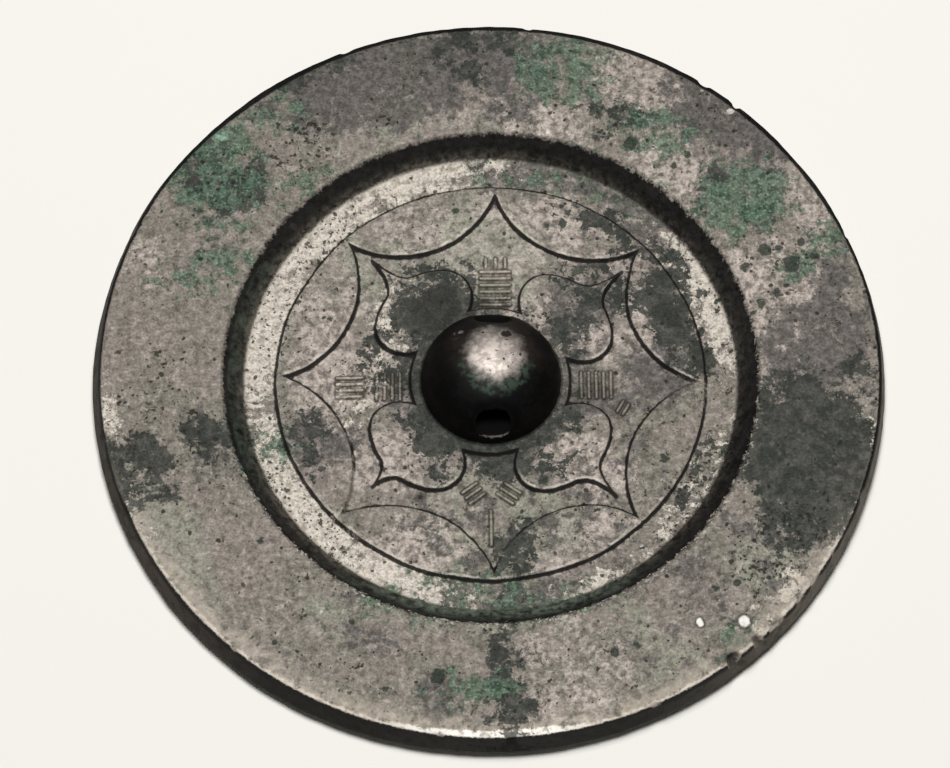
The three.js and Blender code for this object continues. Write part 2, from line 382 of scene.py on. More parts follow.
# Where dark pits lie close together
PITTED_PATCHES = (
    (0.0, 43.5, 20.0, 3.0, 0, 0.4),
    (-41.0, 14.0, 5.0, 18.0, -18, 0.9),
    (-34.0, 29.0, 5.0, 16.0, -48, 0.8),
    (-36.5, -27.0, 5.0, 20.0, 38, 0.95),
    (38.5, -24.0, 4.0, 14.0, -32, 0.7),
    (41.0, 17.0, 3.5, 14.0, 24, 0.5),
    (-37.0, 48.0, 8.0, 7.0, 0, 0.75),
    (53.0, -36.0, 12.0, 8.0, 35, 0.8),
    (7.0, 14.0, 5.0, 7.0, 30, 0.7),
    (10.0, -60.0, 14.0, 12.0, 0, 0.4),
    (-64.0, -10.0, 9.0, 16.0, 0, 0.6),
    (55.0, 19.0, 10.0, 9.0, 0, 0.6),
    (-20.0, -18.0, 8.0, 6.0, 45, 0.5),
)

# Where a step of the pattern is almost worn away
FAINT_PATCHES = (
    (-27.8, -20.5, 7.0, 2.2, 100, 0.9),
    (38.6, -2.0, 2.6, 2.0, 0, 0.7),
    (2.0, -35.5, 2.0, 2.0, 0, 0.7),
    (-15.0, 39.0, 16.0, 2.6, 20, 0.35),
)

# Single dark spots: x, y, radius
DARK_SPOTS = (
    (27.5, 48.8, 1.5),
    (53.0, 25.5, 1.3),
    (55.7, 25.8, 0.8),
    (60.0, 27.0, 0.9),
    (58.0, 22.5, 1.7),
    (55.0, 16.5, 1.1),
    (52.0, 14.5, 1.0),
    (50.5, 12.3, 0.7),
    (62.5, 24.0, 0.9),
    (54.5, 20.0, 0.6),
    (49.0, 22.0, 0.8),
    (35.7, 43.8, 0.7),
    (38.5, 46.0, 0.7),
    (44.0, 41.0, 0.7),
    (-71.0, 4.5, 0.5),
    (-64.0, 4.0, 0.7),
    (-65.0, -6.5, 0.5),
    (-26.0, -51.0, 0.6),
    (-36.0, -50.0, 0.6),
    (-43.5, -34.5, 0.7),
    (-10.0, -62.0, 1.5),
    (-20.0, -64.5, 0.6),
    (-40.5, -55.0, 0.6),
    (39.5, -42.5, 0.7),
    (42.0, -44.5, 0.6),
    (46.0, -43.5, 0.6),
    (41.5, -46.5, 0.7),
    (27.0, -56.0, 0.7),
    (22.6, -57.4, 1.0),
    (33.0, -16.5, 0.8),
    (11.0, 33.0, 0.8),
    (13.8, 33.3, 0.8),
    (-6.5, 36.0, 0.6),
    (-31.0, 13.0, 0.5),
    (10.0, -21.0, 1.0),
    (-0.4, 0.1, 0.35),
    (2.2, 0.2, 0.45),
    (2.9, 5.6, 0.7),
)

# Single pale chips and flecks: x, y, radius
PALE_SPOTS = (
    (11.5, 51.5, 0.6),
    (47.2, 55.6, 0.9),
    (41.5, 60.0, 0.5),
    (63.5, -36.5, 0.6),
    (-53.0, -40.0, 0.4),
    (-48.0, -45.0, 0.4),
    (-32.0, -49.0, 0.4),
    (33.0, -33.0, 0.5),
    (38.0, -26.0, 0.5),
    (-38.0, 32.0, 0.7),
)

# Small white mineral grains, each in a dark halo: x, y, radius
MINERAL_GRAINS = ((38.6, -51.4, 0.9), (47.0, -51.3, 1.3))

GRAIN_HEIGHT = 6.8  # the rim's top where the grains sit

# The middle of the knob's worn crown, and a small glint high on its far left shoulder
CROWN_PLACE = (0.9, 1.6, 12.8)
GLINT_PLACE = (-6.4, 6.2, 10.4)

PATCH_LISTS = {
    "tarnish": TARNISH_PATCHES,
    "film": FILM_PATCHES,
    "green": GREEN_PATCHES,
    "earth": EARTH_PATCHES,
    "olive": OLIVE_PATCHES,
    "pale": PALE_PATCHES,
    "pitted": PITTED_PATCHES,
    "faint": FAINT_PATCHES,
}

# --- Arithmetic on points -----------------------------------------------------------------------------


def lumps(points, cell, seed):
    """Smooth noise from -1 to 1 at each point, with lumps about one cell wide."""
    scaled = points / cell
    low = np.floor(scaled).astype(np.int64)
    part = scaled - low
    part = part * part * (3 - 2 * part)
    total = np.zeros(len(points))
    for corner in itertools.product((0, 1), repeat=points.shape[1]):
        index = low + np.array(corner)
        mixed = np.full(len(points), seed * 7919, dtype=np.int64)
        for axis in range(points.shape[1]):
            mixed = (mixed ^ (index[:, axis] & 0xFFFFF)) * 73856093 & 0x7FFFFFFF
            mixed ^= mixed >> 13
        value = (mixed & 0xFFFF) / 32767.5 - 1
        total += np.prod(np.where(corner, part, 1 - part), axis=1) * value
    return total


def ring(radius, count):
    """Points on a circle round the axis."""
    angles = np.arange(count) * 2 * math.pi / count
    return radius * np.column_stack((np.cos(angles), np.sin(angles)))


def turned(points, degrees):
    """Plan points turned about the axis."""
    angle = math.radians(degrees)
    cosine, sine = math.cos(angle), math.sin(angle)
    return points @ np.array(((cosine, sine), (-sine, cosine)))


def hex_fill(reach, spacing, seed):
    """Points of a slightly shaken triangular grid that covers a square."""
    rows = int(reach / (spacing * math.sqrt(3) / 2)) + 1
    columns = int(reach / spacing) + 1
    y, x = np.mgrid[-rows : rows + 1, -columns : columns + 1].astype(float)
    x = (x + 0.5 * (y % 2)) * spacing
    points = np.column_stack((x.ravel(), (y * spacing * math.sqrt(3) / 2).ravel()))
    shake = np.random.default_rng(seed).uniform(-0.12, 0.12, points.shape)
    return points + shake * spacing


def bezier(start, first, second, end, count):
    """Points on a curve with two handles, its end left out."""
    t = np.arange(count)[:, None] / count
    start, first, second, end = (np.array(p, float) for p in (start, first, second, end))
    return (
        (1 - t) ** 3 * start + 3 * (1 - t) ** 2 * t * first + 3 * (1 - t) * t**2 * second + t**3 * end
    )


def distance_to_path(points, path):
    """The distance from each plan point to an open path of straight pieces."""
    best = np.full(len(points), np.inf)
    for start, end in zip(path[:-1], path[1:]):
        run = end - start
        share = np.clip((points - start) @ run / max(run @ run, 1e-12), 0, 1)
        best = np.minimum(best, np.linalg.norm(points - start - share[:, None] * run, axis=1))
    return best


def triangulated(points, edges):
    """Triangles over plan points that keep the given edges, as (points, triangles)."""
    made = delaunay_2d_cdt([Vector(p) for p in points], edges, [], 0, 1e-5)
    return np.array([tuple(v) for v in made[0]]), np.array(made[2])


# --- The pattern's outlines ---------------------------------------------------------------------------


class Pattern:
    """The outlines of star, leaves, seat and strokes, and how far any plan point lies from them."""

    def __init__(self, sizes):
        self.sizes = sizes
        directions = np.radians(STAR_DIRECTIONS)
        half_steps = (np.roll(directions, -1) - directions) % (2 * math.pi) / 2
        half_chords = sizes.star_point_radius * np.sin(half_steps)
        sagittas = sizes.star_point_radius * np.cos(half_steps) - sizes.arc_deepest_radius
        self.arc_radii = (half_chords**2 + sagittas**2) / (2 * sagittas)
        middles = directions + half_steps
        self.arc_centres = (sizes.arc_deepest_radius + self.arc_radii)[:, None] * np.column_stack(
            (np.cos(middles), np.sin(middles))
        )
        self.strokes = [end for row in STROKE_ROWS for end in self.stroke_ends(*row)]

    @staticmethod
    def stroke_ends(x, y, stroke, row, length, count, pitch):
        """The two ends of each stroke in a row."""
        along = np.array((math.cos(math.radians(row)), math.sin(math.radians(row))))
        reach = np.array((math.cos(math.radians(stroke)), math.sin(math.radians(stroke)))) * length / 2
        for number in range(count):
            middle = np.array((x, y)) + (number - (count - 1) / 2) * pitch * along
            yield middle - reach, middle + reach

    @staticmethod
    def leaf_half(tip):
        """One side of a leaf's outline from root to tip, with its tip drawn out to the given reach."""
        half = np.vstack([bezier(*curve, 14) for curve in LEAF_CURVES] + [[(LEAF_TIP, 0.0)]])
        beyond = np.maximum(0, half[:, 0] - LEAF_NECK)
        half[:, 0] += beyond * ((tip - LEAF_NECK) / (LEAF_TIP - LEAF_NECK) - 1)
        return half

    def wander(self, points):
        """How far the hand-cut mould strays from the true outlines at each point."""
        return np.column_stack((lumps(points, 7.0, 3), lumps(points, 7.0, 4))) * 0.16

    def arcs(self, points):
        """Distance outside the star's arcs: above 0 in the star, below 0 in the arcs' bulges."""
        gaps = np.linalg.norm(points[:, None] - self.arc_centres[None], axis=2) - self.arc_radii
        return gaps.min(axis=1)

    def leaf(self, points, direction, tip):
        """Distance outside one leaf."""
        local = turned(points, -direction)
        local[:, 1] = np.abs(local[:, 1])
        half = self.leaf_half(tip)
        away = distance_to_path(local, half)
        width = np.interp(local[:, 0], half[:, 0], half[:, 1], left=0, right=0)
        return np.where(local[:, 1] < width, -away, away)

    def raised(self, points):
        """Distance outside everything that stands at the height of the relief."""
        radius = np.linalg.norm(points, axis=1)
        bulges = np.maximum(self.arcs(points), radius - self.sizes.star_rim_radius)
        best = np.minimum(bulges, radius - self.sizes.seat_radius)
        for direction, tip in LEAVES:
            best = np.minimum(best, self.leaf(points, direction, tip))
        return best

    def stroke(self, points):
        """Distance outside the nearest short stroke."""
        best = np.full(len(points), 9.0)
        for start, end in self.strokes:
            near = np.linalg.norm(points - (start + end) / 2, axis=1) < 9
            away = distance_to_path(points[near], np.array((start, end)))
            best[near] = np.minimum(best[near], away - self.sizes.stroke_width / 2)
        return best

    def paths_at(self, offset):
        """Candidate paths that run beside the relief's outlines at one offset."""
        sizes = self.sizes
        for centre, radius in zip(self.arc_centres, self.arc_radii):
            yield centre + ring(radius + offset, 330)
        yield ring(sizes.star_rim_radius + offset, 620)
        yield ring(sizes.seat_radius + offset, 240)
        for direction, tip in LEAVES:
            half = self.leaf_half(tip)
            dense = np.column_stack(
                [np.interp(np.linspace(0, len(half) - 1, 110), range(len(half)), half[:, i]) for i in (0, 1)]
            )
            run = np.gradient(dense, axis=0)
            normal = np.column_stack((-run[:, 1], run[:, 0])) / np.linalg.norm(run, axis=1)[:, None]
            side = dense + offset * normal
            for sign in (1, -1):
                yield turned(side * (1, sign), direction)

    def stroke_paths_at(self, offset):
        """Closed paths round each short stroke at one offset."""
        reach = self.sizes.stroke_width / 2 + offset
        for start, end in self.strokes:
            run = (end - start) / np.linalg.norm(end - start)
            heading = math.atan2(run[1], run[0])
            caps = []
            for middle, turn in ((end, -math.pi / 2), (start, math.pi / 2)):
                angles = heading + turn + np.linspace(0, math.pi, 5)
                caps.append(middle + reach * np.column_stack((np.cos(angles), np.sin(angles))))
            steps = max(2, int(np.linalg.norm(end - start) / 0.5))
            shares = np.linspace(0, 1, steps + 1)[1:-1, None]
            sides = [
                caps[0][-1] + shares * (caps[1][0] - caps[0][-1]),
                caps[1][-1] + shares * (caps[0][0] - caps[1][-1]),
            ]
            yield np.vstack((caps[0], sides[0], caps[1], sides[1], caps[0][:1]))


# --- Meshes, as (points, triangles) in millimetres ----------------------------------------------------

FIELD_INNER_RADIUS = 13.9  # the knob's soft foot ends here
FIELD_INNER_COUNT = 180
RIM_COUNT = 640
FACE_FLAT_RADIUS = 28.0  # the flat spot that the mirror rests on
FACE_EDGE_INSET = 0.8  # the rounding between the side wall and the mirror face
STEP_KNEE = 0.35  # where a step turns from its soft foot into its slope, as a share of the softness
STROKE_SHARPNESS = 0.6  # how soft a stroke's side is, as a share of the other steps' softness
HOLE_ROUNDNESS = 2.5  # the cord hole's section: 2 is an ellipse, and more is nearer to a rounded box
HOLE_REACH = 16  # half the length of the bar that cuts the cord hole
FIELD_SPACING = 0.56  # between the points that fill the decorated field
FACE_SPACING = 2.4  # between those that fill the mirror face
KNOB_SPACING = 0.5  # between those that fill the knob
MOUTH_WEAR = 0.5  # how deep the mouths of the cord hole are worn round
MOUTH_REACH = 1.3  # how far from the mouth that wear goes


def step_rise(distance, softness):
    """How much of a step has risen at a distance outside it: 0 on the low side, 1 on the high side."""
    return np.interp(-distance / softness, (-1, -STEP_KNEE, STEP_KNEE, 1), (0, 0.07, 0.9, 1))


def field_height(pattern, points):
    """The height of the decorated field, and the two distances that its lines are drawn by."""
    sizes = pattern.sizes
    radius = np.linalg.norm(points, axis=1)
    straight = points + pattern.wander(points)
    raised = pattern.raised(straight)
    stroke = pattern.stroke(straight)
    band_run = (radius - sizes.star_rim_radius) / (sizes.band_outer_radius - sizes.star_rim_radius)
    band = sizes.band_inner_height + band_run * (sizes.band_outer_height - sizes.band_inner_height)
    low = np.where(radius < sizes.star_point_radius + 0.8, sizes.ground_height, band)
    height = low + (sizes.relief_height - low) * step_rise(raised, sizes.step_softness)
    stroke_rise = step_rise(stroke, STROKE_SHARPNESS * sizes.step_softness)
    return np.maximum(height, sizes.ground_height + sizes.stroke_height * stroke_rise), raised, stroke


def kept_runs(path, keep):
    """Index pairs along a path between neighbours that are both kept."""
    pairs = np.column_stack((np.arange(len(path)), (np.arange(len(path)) + 1) % len(path)))
    return pairs[keep[pairs[:, 0]] & keep[pairs[:, 1]]]


def field_mesh(pattern):
    """The decorated field between the knob's foot and the rim's inner slope."""
    sizes = pattern.sizes
    inner = ring(FIELD_INNER_RADIUS, FIELD_INNER_COUNT)
    outer = ring(sizes.band_outer_radius, RIM_COUNT)
    points, edges = [inner, outer], []
    for start, count in ((0, len(inner)), (len(inner), len(outer))):
        edges += [(start + i, start + (i + 1) % count) for i in range(count)]
    total = len(inner) + len(outer)
    softness = sizes.step_softness
    for offset in (-softness, -STEP_KNEE * softness, STEP_KNEE * softness, softness):
        near = STROKE_SHARPNESS * offset
        candidates = [(path, pattern.raised, offset) for path in pattern.paths_at(offset)]
        candidates += [(path, pattern.stroke, near) for path in pattern.stroke_paths_at(near)]
        for path, distance, target in candidates:
            radius = np.linalg.norm(path, axis=1)
            keep = np.abs(distance(path) - target) < 0.02
            keep &= (radius > FIELD_INNER_RADIUS + 0.4) & (radius < sizes.band_outer_radius - 0.4)
            if distance == pattern.stroke:  # strokes stop short of the arcs, leaves and seat
                keep &= pattern.raised(path) > 0.5
            gap = np.linalg.norm(path - np.roll(path, -1, axis=0), axis=1) < 2
            runs = kept_runs(path, keep)
            runs = runs[gap[runs[:, 0]]]
            number = np.full(len(path), -1)
            number[keep] = total + np.arange(keep.sum())
            placed = path[keep]
            points.append(placed - pattern.wander(placed))
            edges += [tuple(int(i) for i in pair) for pair in number[runs]]
            total += int(keep.sum())
    fill = hex_fill(sizes.band_outer_radius, FIELD_SPACING, 11)
    radius = np.linalg.norm(fill, axis=1)
    fill = fill[(radius > FIELD_INNER_RADIUS + 0.35) & (radius < sizes.band_outer_radius - 0.3)]
    straight = fill + pattern.wander(fill)
    clear = np.abs(pattern.raised(straight)) > softness + 0.2
    clear &= np.abs(pattern.stroke(straight)) > 0.45
    points.append(fill[clear])
    plan, triangles = triangulated(np.vstack(points), edges)
    middle = np.linalg.norm(plan[triangles].mean(axis=1), axis=1)
    apothem = FIELD_INNER_RADIUS * math.cos(math.pi / FIELD_INNER_COUNT)
    triangles = triangles[middle > apothem]
    height = field_height(pattern, plan)[0]
    return np.column_stack((plan, height)), triangles


def rim_profile(sizes):
    """The rim as (radius, height), from its inner slope's foot over the top and down to the mirror face."""
    lip, lip_height = sizes.rim_inner_radius, sizes.rim_inner_height
    edge = sizes.mirror_radius - sizes.edge_flare
    crown, crown_height = (lip + sizes.mirror_radius) / 2, sizes.rim_crown_height

    # The inner slope, with a soft foot and a rounded lip
    band_end = (sizes.band_outer_radius, sizes.band_outer_height)
    slope_start = (sizes.band_outer_radius + 0.5, sizes.band_outer_height + 0.36)
    slope_end = (lip - 0.3, lip_height - 0.56)
    top_start, top_end = (lip + 0.5, lip_height + 0.02), (edge - 0.6, crown_height - 0.1)
    run = [bezier(band_end, (47.3, 2.8), (47.4, 2.95), slope_start, 2)]
    run.append(bezier(slope_start, slope_start, slope_end, slope_end, 8))
    below_lip, past_lip = (lip + 0.02, lip_height - 0.21), (lip + 0.15, lip_height - 0.03)
    run.append(bezier(slope_end, below_lip, past_lip, top_start, 4))

    # The top, highest at its crown and falling a little to both sides
    top = np.linspace(top_start[0], top_end[0], 38)[:-1]
    dip = np.where(
        top < crown,
        (crown_height - top_start[1]) * ((crown - top) / (crown - top_start[0])) ** 2,
        (crown_height - top_end[1]) * ((top - crown) / (top_end[0] - crown)) ** 2,
    )
    run.append(np.column_stack((top, crown_height - dip)))

    # The side wall, and the rounding into the mirror face
    shoulder, foot = (edge + 0.05, crown_height - 0.55), (sizes.mirror_radius - 0.03, 2.5)
    run.append(bezier(top_end, (edge - 0.2, crown_height - 0.11), (edge, crown_height - 0.2), shoulder, 5))
    run.append(bezier(shoulder, shoulder, foot, foot, 7))
    under = sizes.mirror_radius - FACE_EDGE_INSET
    face_edge = (under, face_height(sizes, under))
    run.append(bezier(foot, (foot[0] + 0.03, 1.9), (foot[0] - 0.2, 1.6), face_edge, 5))
    run.append([face_edge])
    return np.vstack(run)


def face_height(sizes, radius):
    """The domed mirror face: flat in the middle, then rising from the floor towards the edge."""
    share = np.maximum(0, radius - FACE_FLAT_RADIUS) / (sizes.mirror_radius - FACE_FLAT_RADIUS)
    return sizes.face_sag * share**1.5


def rim_mesh(sizes):
    """The rim as rings of its profile."""
    profile = rim_profile(sizes)
    circle = ring(1.0, RIM_COUNT)
    points = np.vstack([np.column_stack((circle * r, np.full(RIM_COUNT, z))) for r, z in profile])
    start = np.arange(len(profile) - 1)[:, None] * RIM_COUNT
    here = np.arange(RIM_COUNT)[None]
    following = (here + 1) % RIM_COUNT
    a, b = start + here, start + following
    c, d = b + RIM_COUNT, a + RIM_COUNT
    lower = np.stack((a, d, c), axis=-1).reshape(-1, 3)
    upper = np.stack((a, c, b), axis=-1).reshape(-1, 3)
    return points, np.vstack((lower, upper))


def face_mesh(sizes):
    """The domed mirror face on the underside, inside the rim's last ring."""
    outer = ring(sizes.mirror_radius - FACE_EDGE_INSET, RIM_COUNT)
    edges = [(i, (i + 1) % RIM_COUNT) for i in range(RIM_COUNT)]
    fill = hex_fill(sizes.mirror_radius, FACE_SPACING, 12)
    radius = np.linalg.norm(fill, axis=1)
    fill = fill[radius < sizes.mirror_radius - 3.2]
    near = ring(sizes.mirror_radius - 1.9, RIM_COUNT // 3)
    plan, triangles = triangulated(np.vstack((outer, near, fill)), edges)
    height = face_height(sizes, np.linalg.norm(plan, axis=1))
    return np.column_stack((plan, height)), triangles[:, ::-1]


def knob_profile(sizes):
    """The knob from its soft foot to its crown: radius, height."""
    seat = sizes.relief_height
    rise = np.radians(np.linspace(3.5, 90, 60))
    dome = np.column_stack((sizes.knob_radius * np.cos(rise), seat + sizes.knob_height * np.sin(rise)))
    foot = bezier((FIELD_INNER_RADIUS, seat), (13.65, seat), (13.45, seat + 0.1), dome[0], 3)
    return np.vstack((foot, dome))


def mesh_object(name, points, triangles):
    """A mesh object in metres from points in millimetres."""
    data = bpy.data.meshes.new(name)
    data.from_pydata((points * MM).tolist(), [], triangles.tolist())
    made = bpy.data.objects.new(name, data)
    bpy.context.scene.collection.objects.link(made)
    return made


def tube_reach(sizes, points):
    """How far a point is from the middle of the cord hole, as a share of the way to its wall."""
    across = np.abs(points[:, 0] - sizes.hole_offset) / (sizes.hole_width / 2)
    up = np.abs(points[:, 2] - sizes.relief_height - sizes.hole_centre_height) / (sizes.hole_height / 2)
    return (across**HOLE_ROUNDNESS + up**HOLE_ROUNDNESS) ** (1 / HOLE_ROUNDNESS)


def hole_tool(sizes):
    """A closed bar along Y with the cord hole's oval section."""
    count = 56
    angles = np.arange(count) * 2 * math.pi / count
    cosine, sine = np.cos(angles), np.sin(angles)
    reach = (np.abs(cosine) ** HOLE_ROUNDNESS + np.abs(sine) ** HOLE_ROUNDNESS) ** (-1 / HOLE_ROUNDNESS)
    x = sizes.hole_offset + sizes.hole_width / 2 * reach * cosine
    z = sizes.relief_height + sizes.hole_centre_height + sizes.hole_height / 2 * reach * sine
    stations = np.linspace(-HOLE_REACH, HOLE_REACH, 57)
    points = np.vstack([np.column_stack((x, np.full(count, y), z)) for y in stations])
    triangles = []
    for i in range(len(stations) - 1):
        for j in range(count):
            a, b = i * count + j, i * count + (j + 1) % count
            triangles += [(a, b + count, b), (a, a + count, b + count)]
    last = (len(stations) - 1) * count
    for j in range(1, count - 1):
        triangles += [(0, j, j + 1), (last, last + j + 1, last + j)]
    return points, np.array(triangles)


def knob_mesh(sizes):
    """The pierced knob, open below, from its foot ring up."""
    profile = knob_profile(sizes)
    lengths = np.linalg.norm(np.diff(profile, axis=0), axis=1)
    travel = np.concatenate(([0], np.cumsum(lengths)))
    whole = travel[-1]
    edge = ring(whole, FIELD_INNER_COUNT)
    fill = hex_fill(whole, KNOB_SPACING, 13)
    away = np.linalg.norm(fill, axis=1)
    near = ring(whole - travel[2], FIELD_INNER_COUNT)
    flat = np.vstack((edge, near, fill[away < whole - travel[2] - 0.3]))
    plan, triangles = triangulated(flat, [(i, (i + 1) % len(edge)) for i in range(len(edge))])
    away = np.linalg.norm(plan, axis=1)
    radius = np.interp(whole - away, travel, profile[:, 0])
    height = np.interp(whole - away, travel, profile[:, 1])
    outward = plan / np.maximum(away, 1e-9)[:, None]
    points = np.column_stack((outward * radius[:, None], height))
    root = len(points)
    below = np.column_stack((ring(FIELD_INNER_RADIUS, len(edge)), np.full(len(edge), 1.0)))
    points = np.vstack((points, below, [(0, 0, 1.0)]))
    skirt = []
    for i in range(len(edge)):
        j = (i + 1) % len(edge)
        skirt += [(i, root + i, root + j), (i, root + j, j), (root + j, root + i, root + len(edge))]
    body = mesh_object("knob_body", points, np.vstack((triangles, skirt)))
    tool = mesh_object("knob_hole", *hole_tool(sizes))
    cut = body.modifiers.new("Cord Hole", "BOOLEAN")
    cut.operation = "DIFFERENCE"
    cut.solver = "EXACT"
    cut.object = tool
    pierced = bpy.data.meshes.new_from_object(body.evaluated_get(bpy.context.evaluated_depsgraph_get()))
    pierced.calc_loop_triangles()
    points = np.zeros(len(pierced.vertices) * 3)
    pierced.vertices.foreach_get("co", points)
    points = points.reshape(-1, 3) / MM
    triangles = np.zeros(len(pierced.loop_triangles) * 3, np.int32)
    pierced.loop_triangles.foreach_get("vertices", triangles)
    triangles = triangles.reshape(-1, 3)
    for made in (body, tool):
        bpy.data.objects.remove(made)
    above = points[triangles][:, :, 2].mean(axis=1) > sizes.relief_height - 1e-3
    return soft_mouth(sizes, points), triangles[above]


def soft_mouth(sizes, points):
    """The knob's points with the mouths of the cord hole worn round."""
    lift = (points[:, 2] - sizes.relief_height) / sizes.knob_height
    plan = np.linalg.norm(points[:, :2], axis=1) / sizes.knob_radius
    depth = np.maximum(0, 1 - np.hypot(lift, plan)) * sizes.knob_radius
    beside = np.maximum(0, tube_reach(sizes, points) - 1) * sizes.hole_height / 2
    worn = MOUTH_WEAR * np.maximum(0, 1 - (depth + beside) / MOUTH_REACH) ** 2
    inward = -points.copy()
    inward[:, 2] = -(points[:, 2] - sizes.relief_height) * (sizes.knob_radius / sizes.knob_height) ** 2
    inward /= np.maximum(np.linalg.norm(inward, axis=1), 1e-9)[:, None]
    return points + inward * worn[:, None]


# --- Wear and patches on the finished points ----------------------------------------------------------

PATCH_FADE = 3.5  # millimetres over which a patch sets in
NO_PATCH = -2.6  # how deep a point far from any patch counts
NO_SPOT = -3.0  # how far inside a spot a point far from any spot counts

# Unevenness of the top, the outline and the side wall, each as waves: height, width of a lump, seed
TOP_WAVES = ((0.05, 9.0, 21), (0.025, 2.2, 22), (0.012, 1.0, 23))
OUTLINE_WAVES = ((0.10, 13.0, 31), (0.06, 4.0, 32))
WALL_WAVES = ((0.06, 1.6, 33),)

# How far the foot of the side wall stands out on the left and in on the right, in millimetres, and
# a steeper stretch of it: direction and spread in degrees, and how much less it stands out
WALL_LEAN_LEFT = 0.55
WALL_LEAN_RIGHT = 0.2
STEEP_STRETCH = (163.0, 12.0, 0.4)


def waves(points, kinds):
    """Waves of several heights and widths added together."""
    return sum(height * lumps(points, width, seed) for height, width, seed in kinds)


def swell(angle, direction, spread):
    """1 in one direction, falling off evenly on both sides of it, all in degrees."""
    away = (angle - direction + 180) % 360 - 180
    return np.exp(-((away / spread) ** 2))


def nick_depth(sizes, points):
    """How far the nicks in the edge bite inwards at each point, with ragged borders."""
    angle = np.degrees(np.arctan2(points[:, 1], points[:, 0]))
    outward = points[:, :2] / np.maximum(np.linalg.norm(points[:, :2], axis=1), 1e-9)[:, None]
    around = np.column_stack((outward * sizes.mirror_radius, points[:, 2]))
    ragged = lumps(around, 1.5, 34)
    jagged = lumps(around, 2.6, 35)
    bite = np.zeros(len(points))
    for direction, half_width, depth in EDGE_NICKS:
        along = np.radians((angle - direction + 180) % 360 - 180) * sizes.mirror_radius + 0.9 * jagged
        bite = np.maximum(bite, depth * np.clip(1 - (along / half_width) ** 2 + 0.5 * ragged, 0, 1))
    return bite


def worn_points(sizes, points):
    """The casting's points with its uneven skin, wavy edge, leaning wall and the nicks in it."""
    height = points[:, 2]
    radius = np.linalg.norm(points[:, :2], axis=1)
    outward = points[:, :2] / np.maximum(radius, 1e-9)[:, None]
    angle = np.degrees(np.arctan2(points[:, 1], points[:, 0]))
    rim_edge = sizes.mirror_radius - sizes.edge_flare
    turn = outward * sizes.mirror_radius
    at_edge = np.clip((radius - (rim_edge - 2.6)) / 2.4, 0, 1)
    upper = np.clip((height - 2.0) / 4.0, 0, 1)

    shift = waves(turn, OUTLINE_WAVES) + waves(np.column_stack((turn, height)), WALL_WAVES)
    direction, spread, steeper = STEEP_STRETCH
    lean = np.maximum(-WALL_LEAN_RIGHT, -WALL_LEAN_LEFT * outward[:, 0])
    lean = lean - steeper * swell(angle, direction, spread)
    towards_foot = np.clip((6.4 - height) / 3.9, 0, 1) * np.clip((radius - 70.0) / 4.0, 0, 1)
    shift = shift + towards_foot * lean
    for direction, spread, reach in EDGE_SWELLS:
        shift = shift + reach * swell(angle, direction, spread)
    bite = nick_depth(sizes, points) * upper

    moved = points.copy()
    moved[:, :2] += outward * (at_edge * (shift - bite))[:, None]
    on_top = (height > 2.0) & (radius < rim_edge - 0.8)
    moved[:, 2] += np.where(on_top, waves(points, TOP_WAVES), 0)
    moved[:, 2] -= 0.6 * bite * at_edge
    return moved


def patch_field(points, patches):
    """How deep each plan point lies in the nearest patch: 1 well inside, 0 at its edge, less outside."""
    best = np.full(len(points), NO_PATCH)
    for x, y, half_length, half_width, turn, strength in patches:
        local = turned(points - (x, y), -turn) / (half_length, half_width)
        depth = (1 - np.linalg.norm(local, axis=1)) * min(half_length, half_width) / PATCH_FADE
        best = np.maximum(best, np.minimum(depth, 2 * strength - 1))
    return best


def spot_field(points, spots):
    """How far inside the nearest spot each plan point lies, in millimetres."""
    best = np.full(len(points), NO_SPOT)
    for x, y, radius in spots:
        best = np.maximum(best, radius - np.linalg.norm(points - (x, y), axis=1))
    return best


def add_value(data, name, values):
    """A number at each vertex, which the material reads by its name."""
    data.attributes.new(name, "FLOAT", "POINT").data.foreach_set("value", values.astype(np.float32))


def point_array(data):
    """A mesh's vertices in millimetres."""
    points = np.zeros(len(data.vertices) * 3)
    data.vertices.foreach_get("co", points)
    return points.reshape(-1, 3) / MM


def smooth_share(value, low, high):
    """0 below low, 1 above high, and an even rise between them."""
    share = np.clip((value - low) / (high - low), 0, 1)
    return share * share * (3 - 2 * share)


def build_casting(sizes):
    """The whole casting as one closed mesh object, with the values that its material reads."""
    pattern = Pattern(sizes)
    parts = [field_mesh(pattern), rim_mesh(sizes), face_mesh(sizes), knob_mesh(sizes)]
    offsets = np.cumsum([0] + [len(points) for points, _ in parts])
    points = np.vstack([points for points, _ in parts])
    triangles = np.vstack([tri + offset for (_, tri), offset in zip(parts, offsets)])
    made = mesh_object("mirror_casting", points, triangles)
    data = made.data
    welded = bmesh.new()
    welded.from_mesh(data)
    bmesh.ops.remove_doubles(welded, verts=welded.verts, dist=2e-6)
    bmesh.ops.dissolve_degenerate(welded, edges=welded.edges, dist=1e-7)
    bmesh.ops.triangulate(welded, faces=[face for face in welded.faces if len(face.verts) > 3])
    loose = [vertex for vertex in welded.verts if not vertex.link_faces]
    bmesh.ops.delete(welded, geom=loose, context="VERTS")
    open_edges = sum(1 for edge in welded.edges if len(edge.link_faces) != 2)
    welded.to_mesh(data)
    welded.free()
    print(f"casting: {len(data.vertices)} points, {len(data.polygons)} faces, {open_edges} open edges")
    true = point_array(data)
    moved = worn_points(sizes, true)
    data.vertices.foreach_set("co", (moved * MM).ravel())
    mark_values(data, pattern, true)
    unwrap(data, sizes, true)
    data.shade_smooth()
    data.update()
    return made


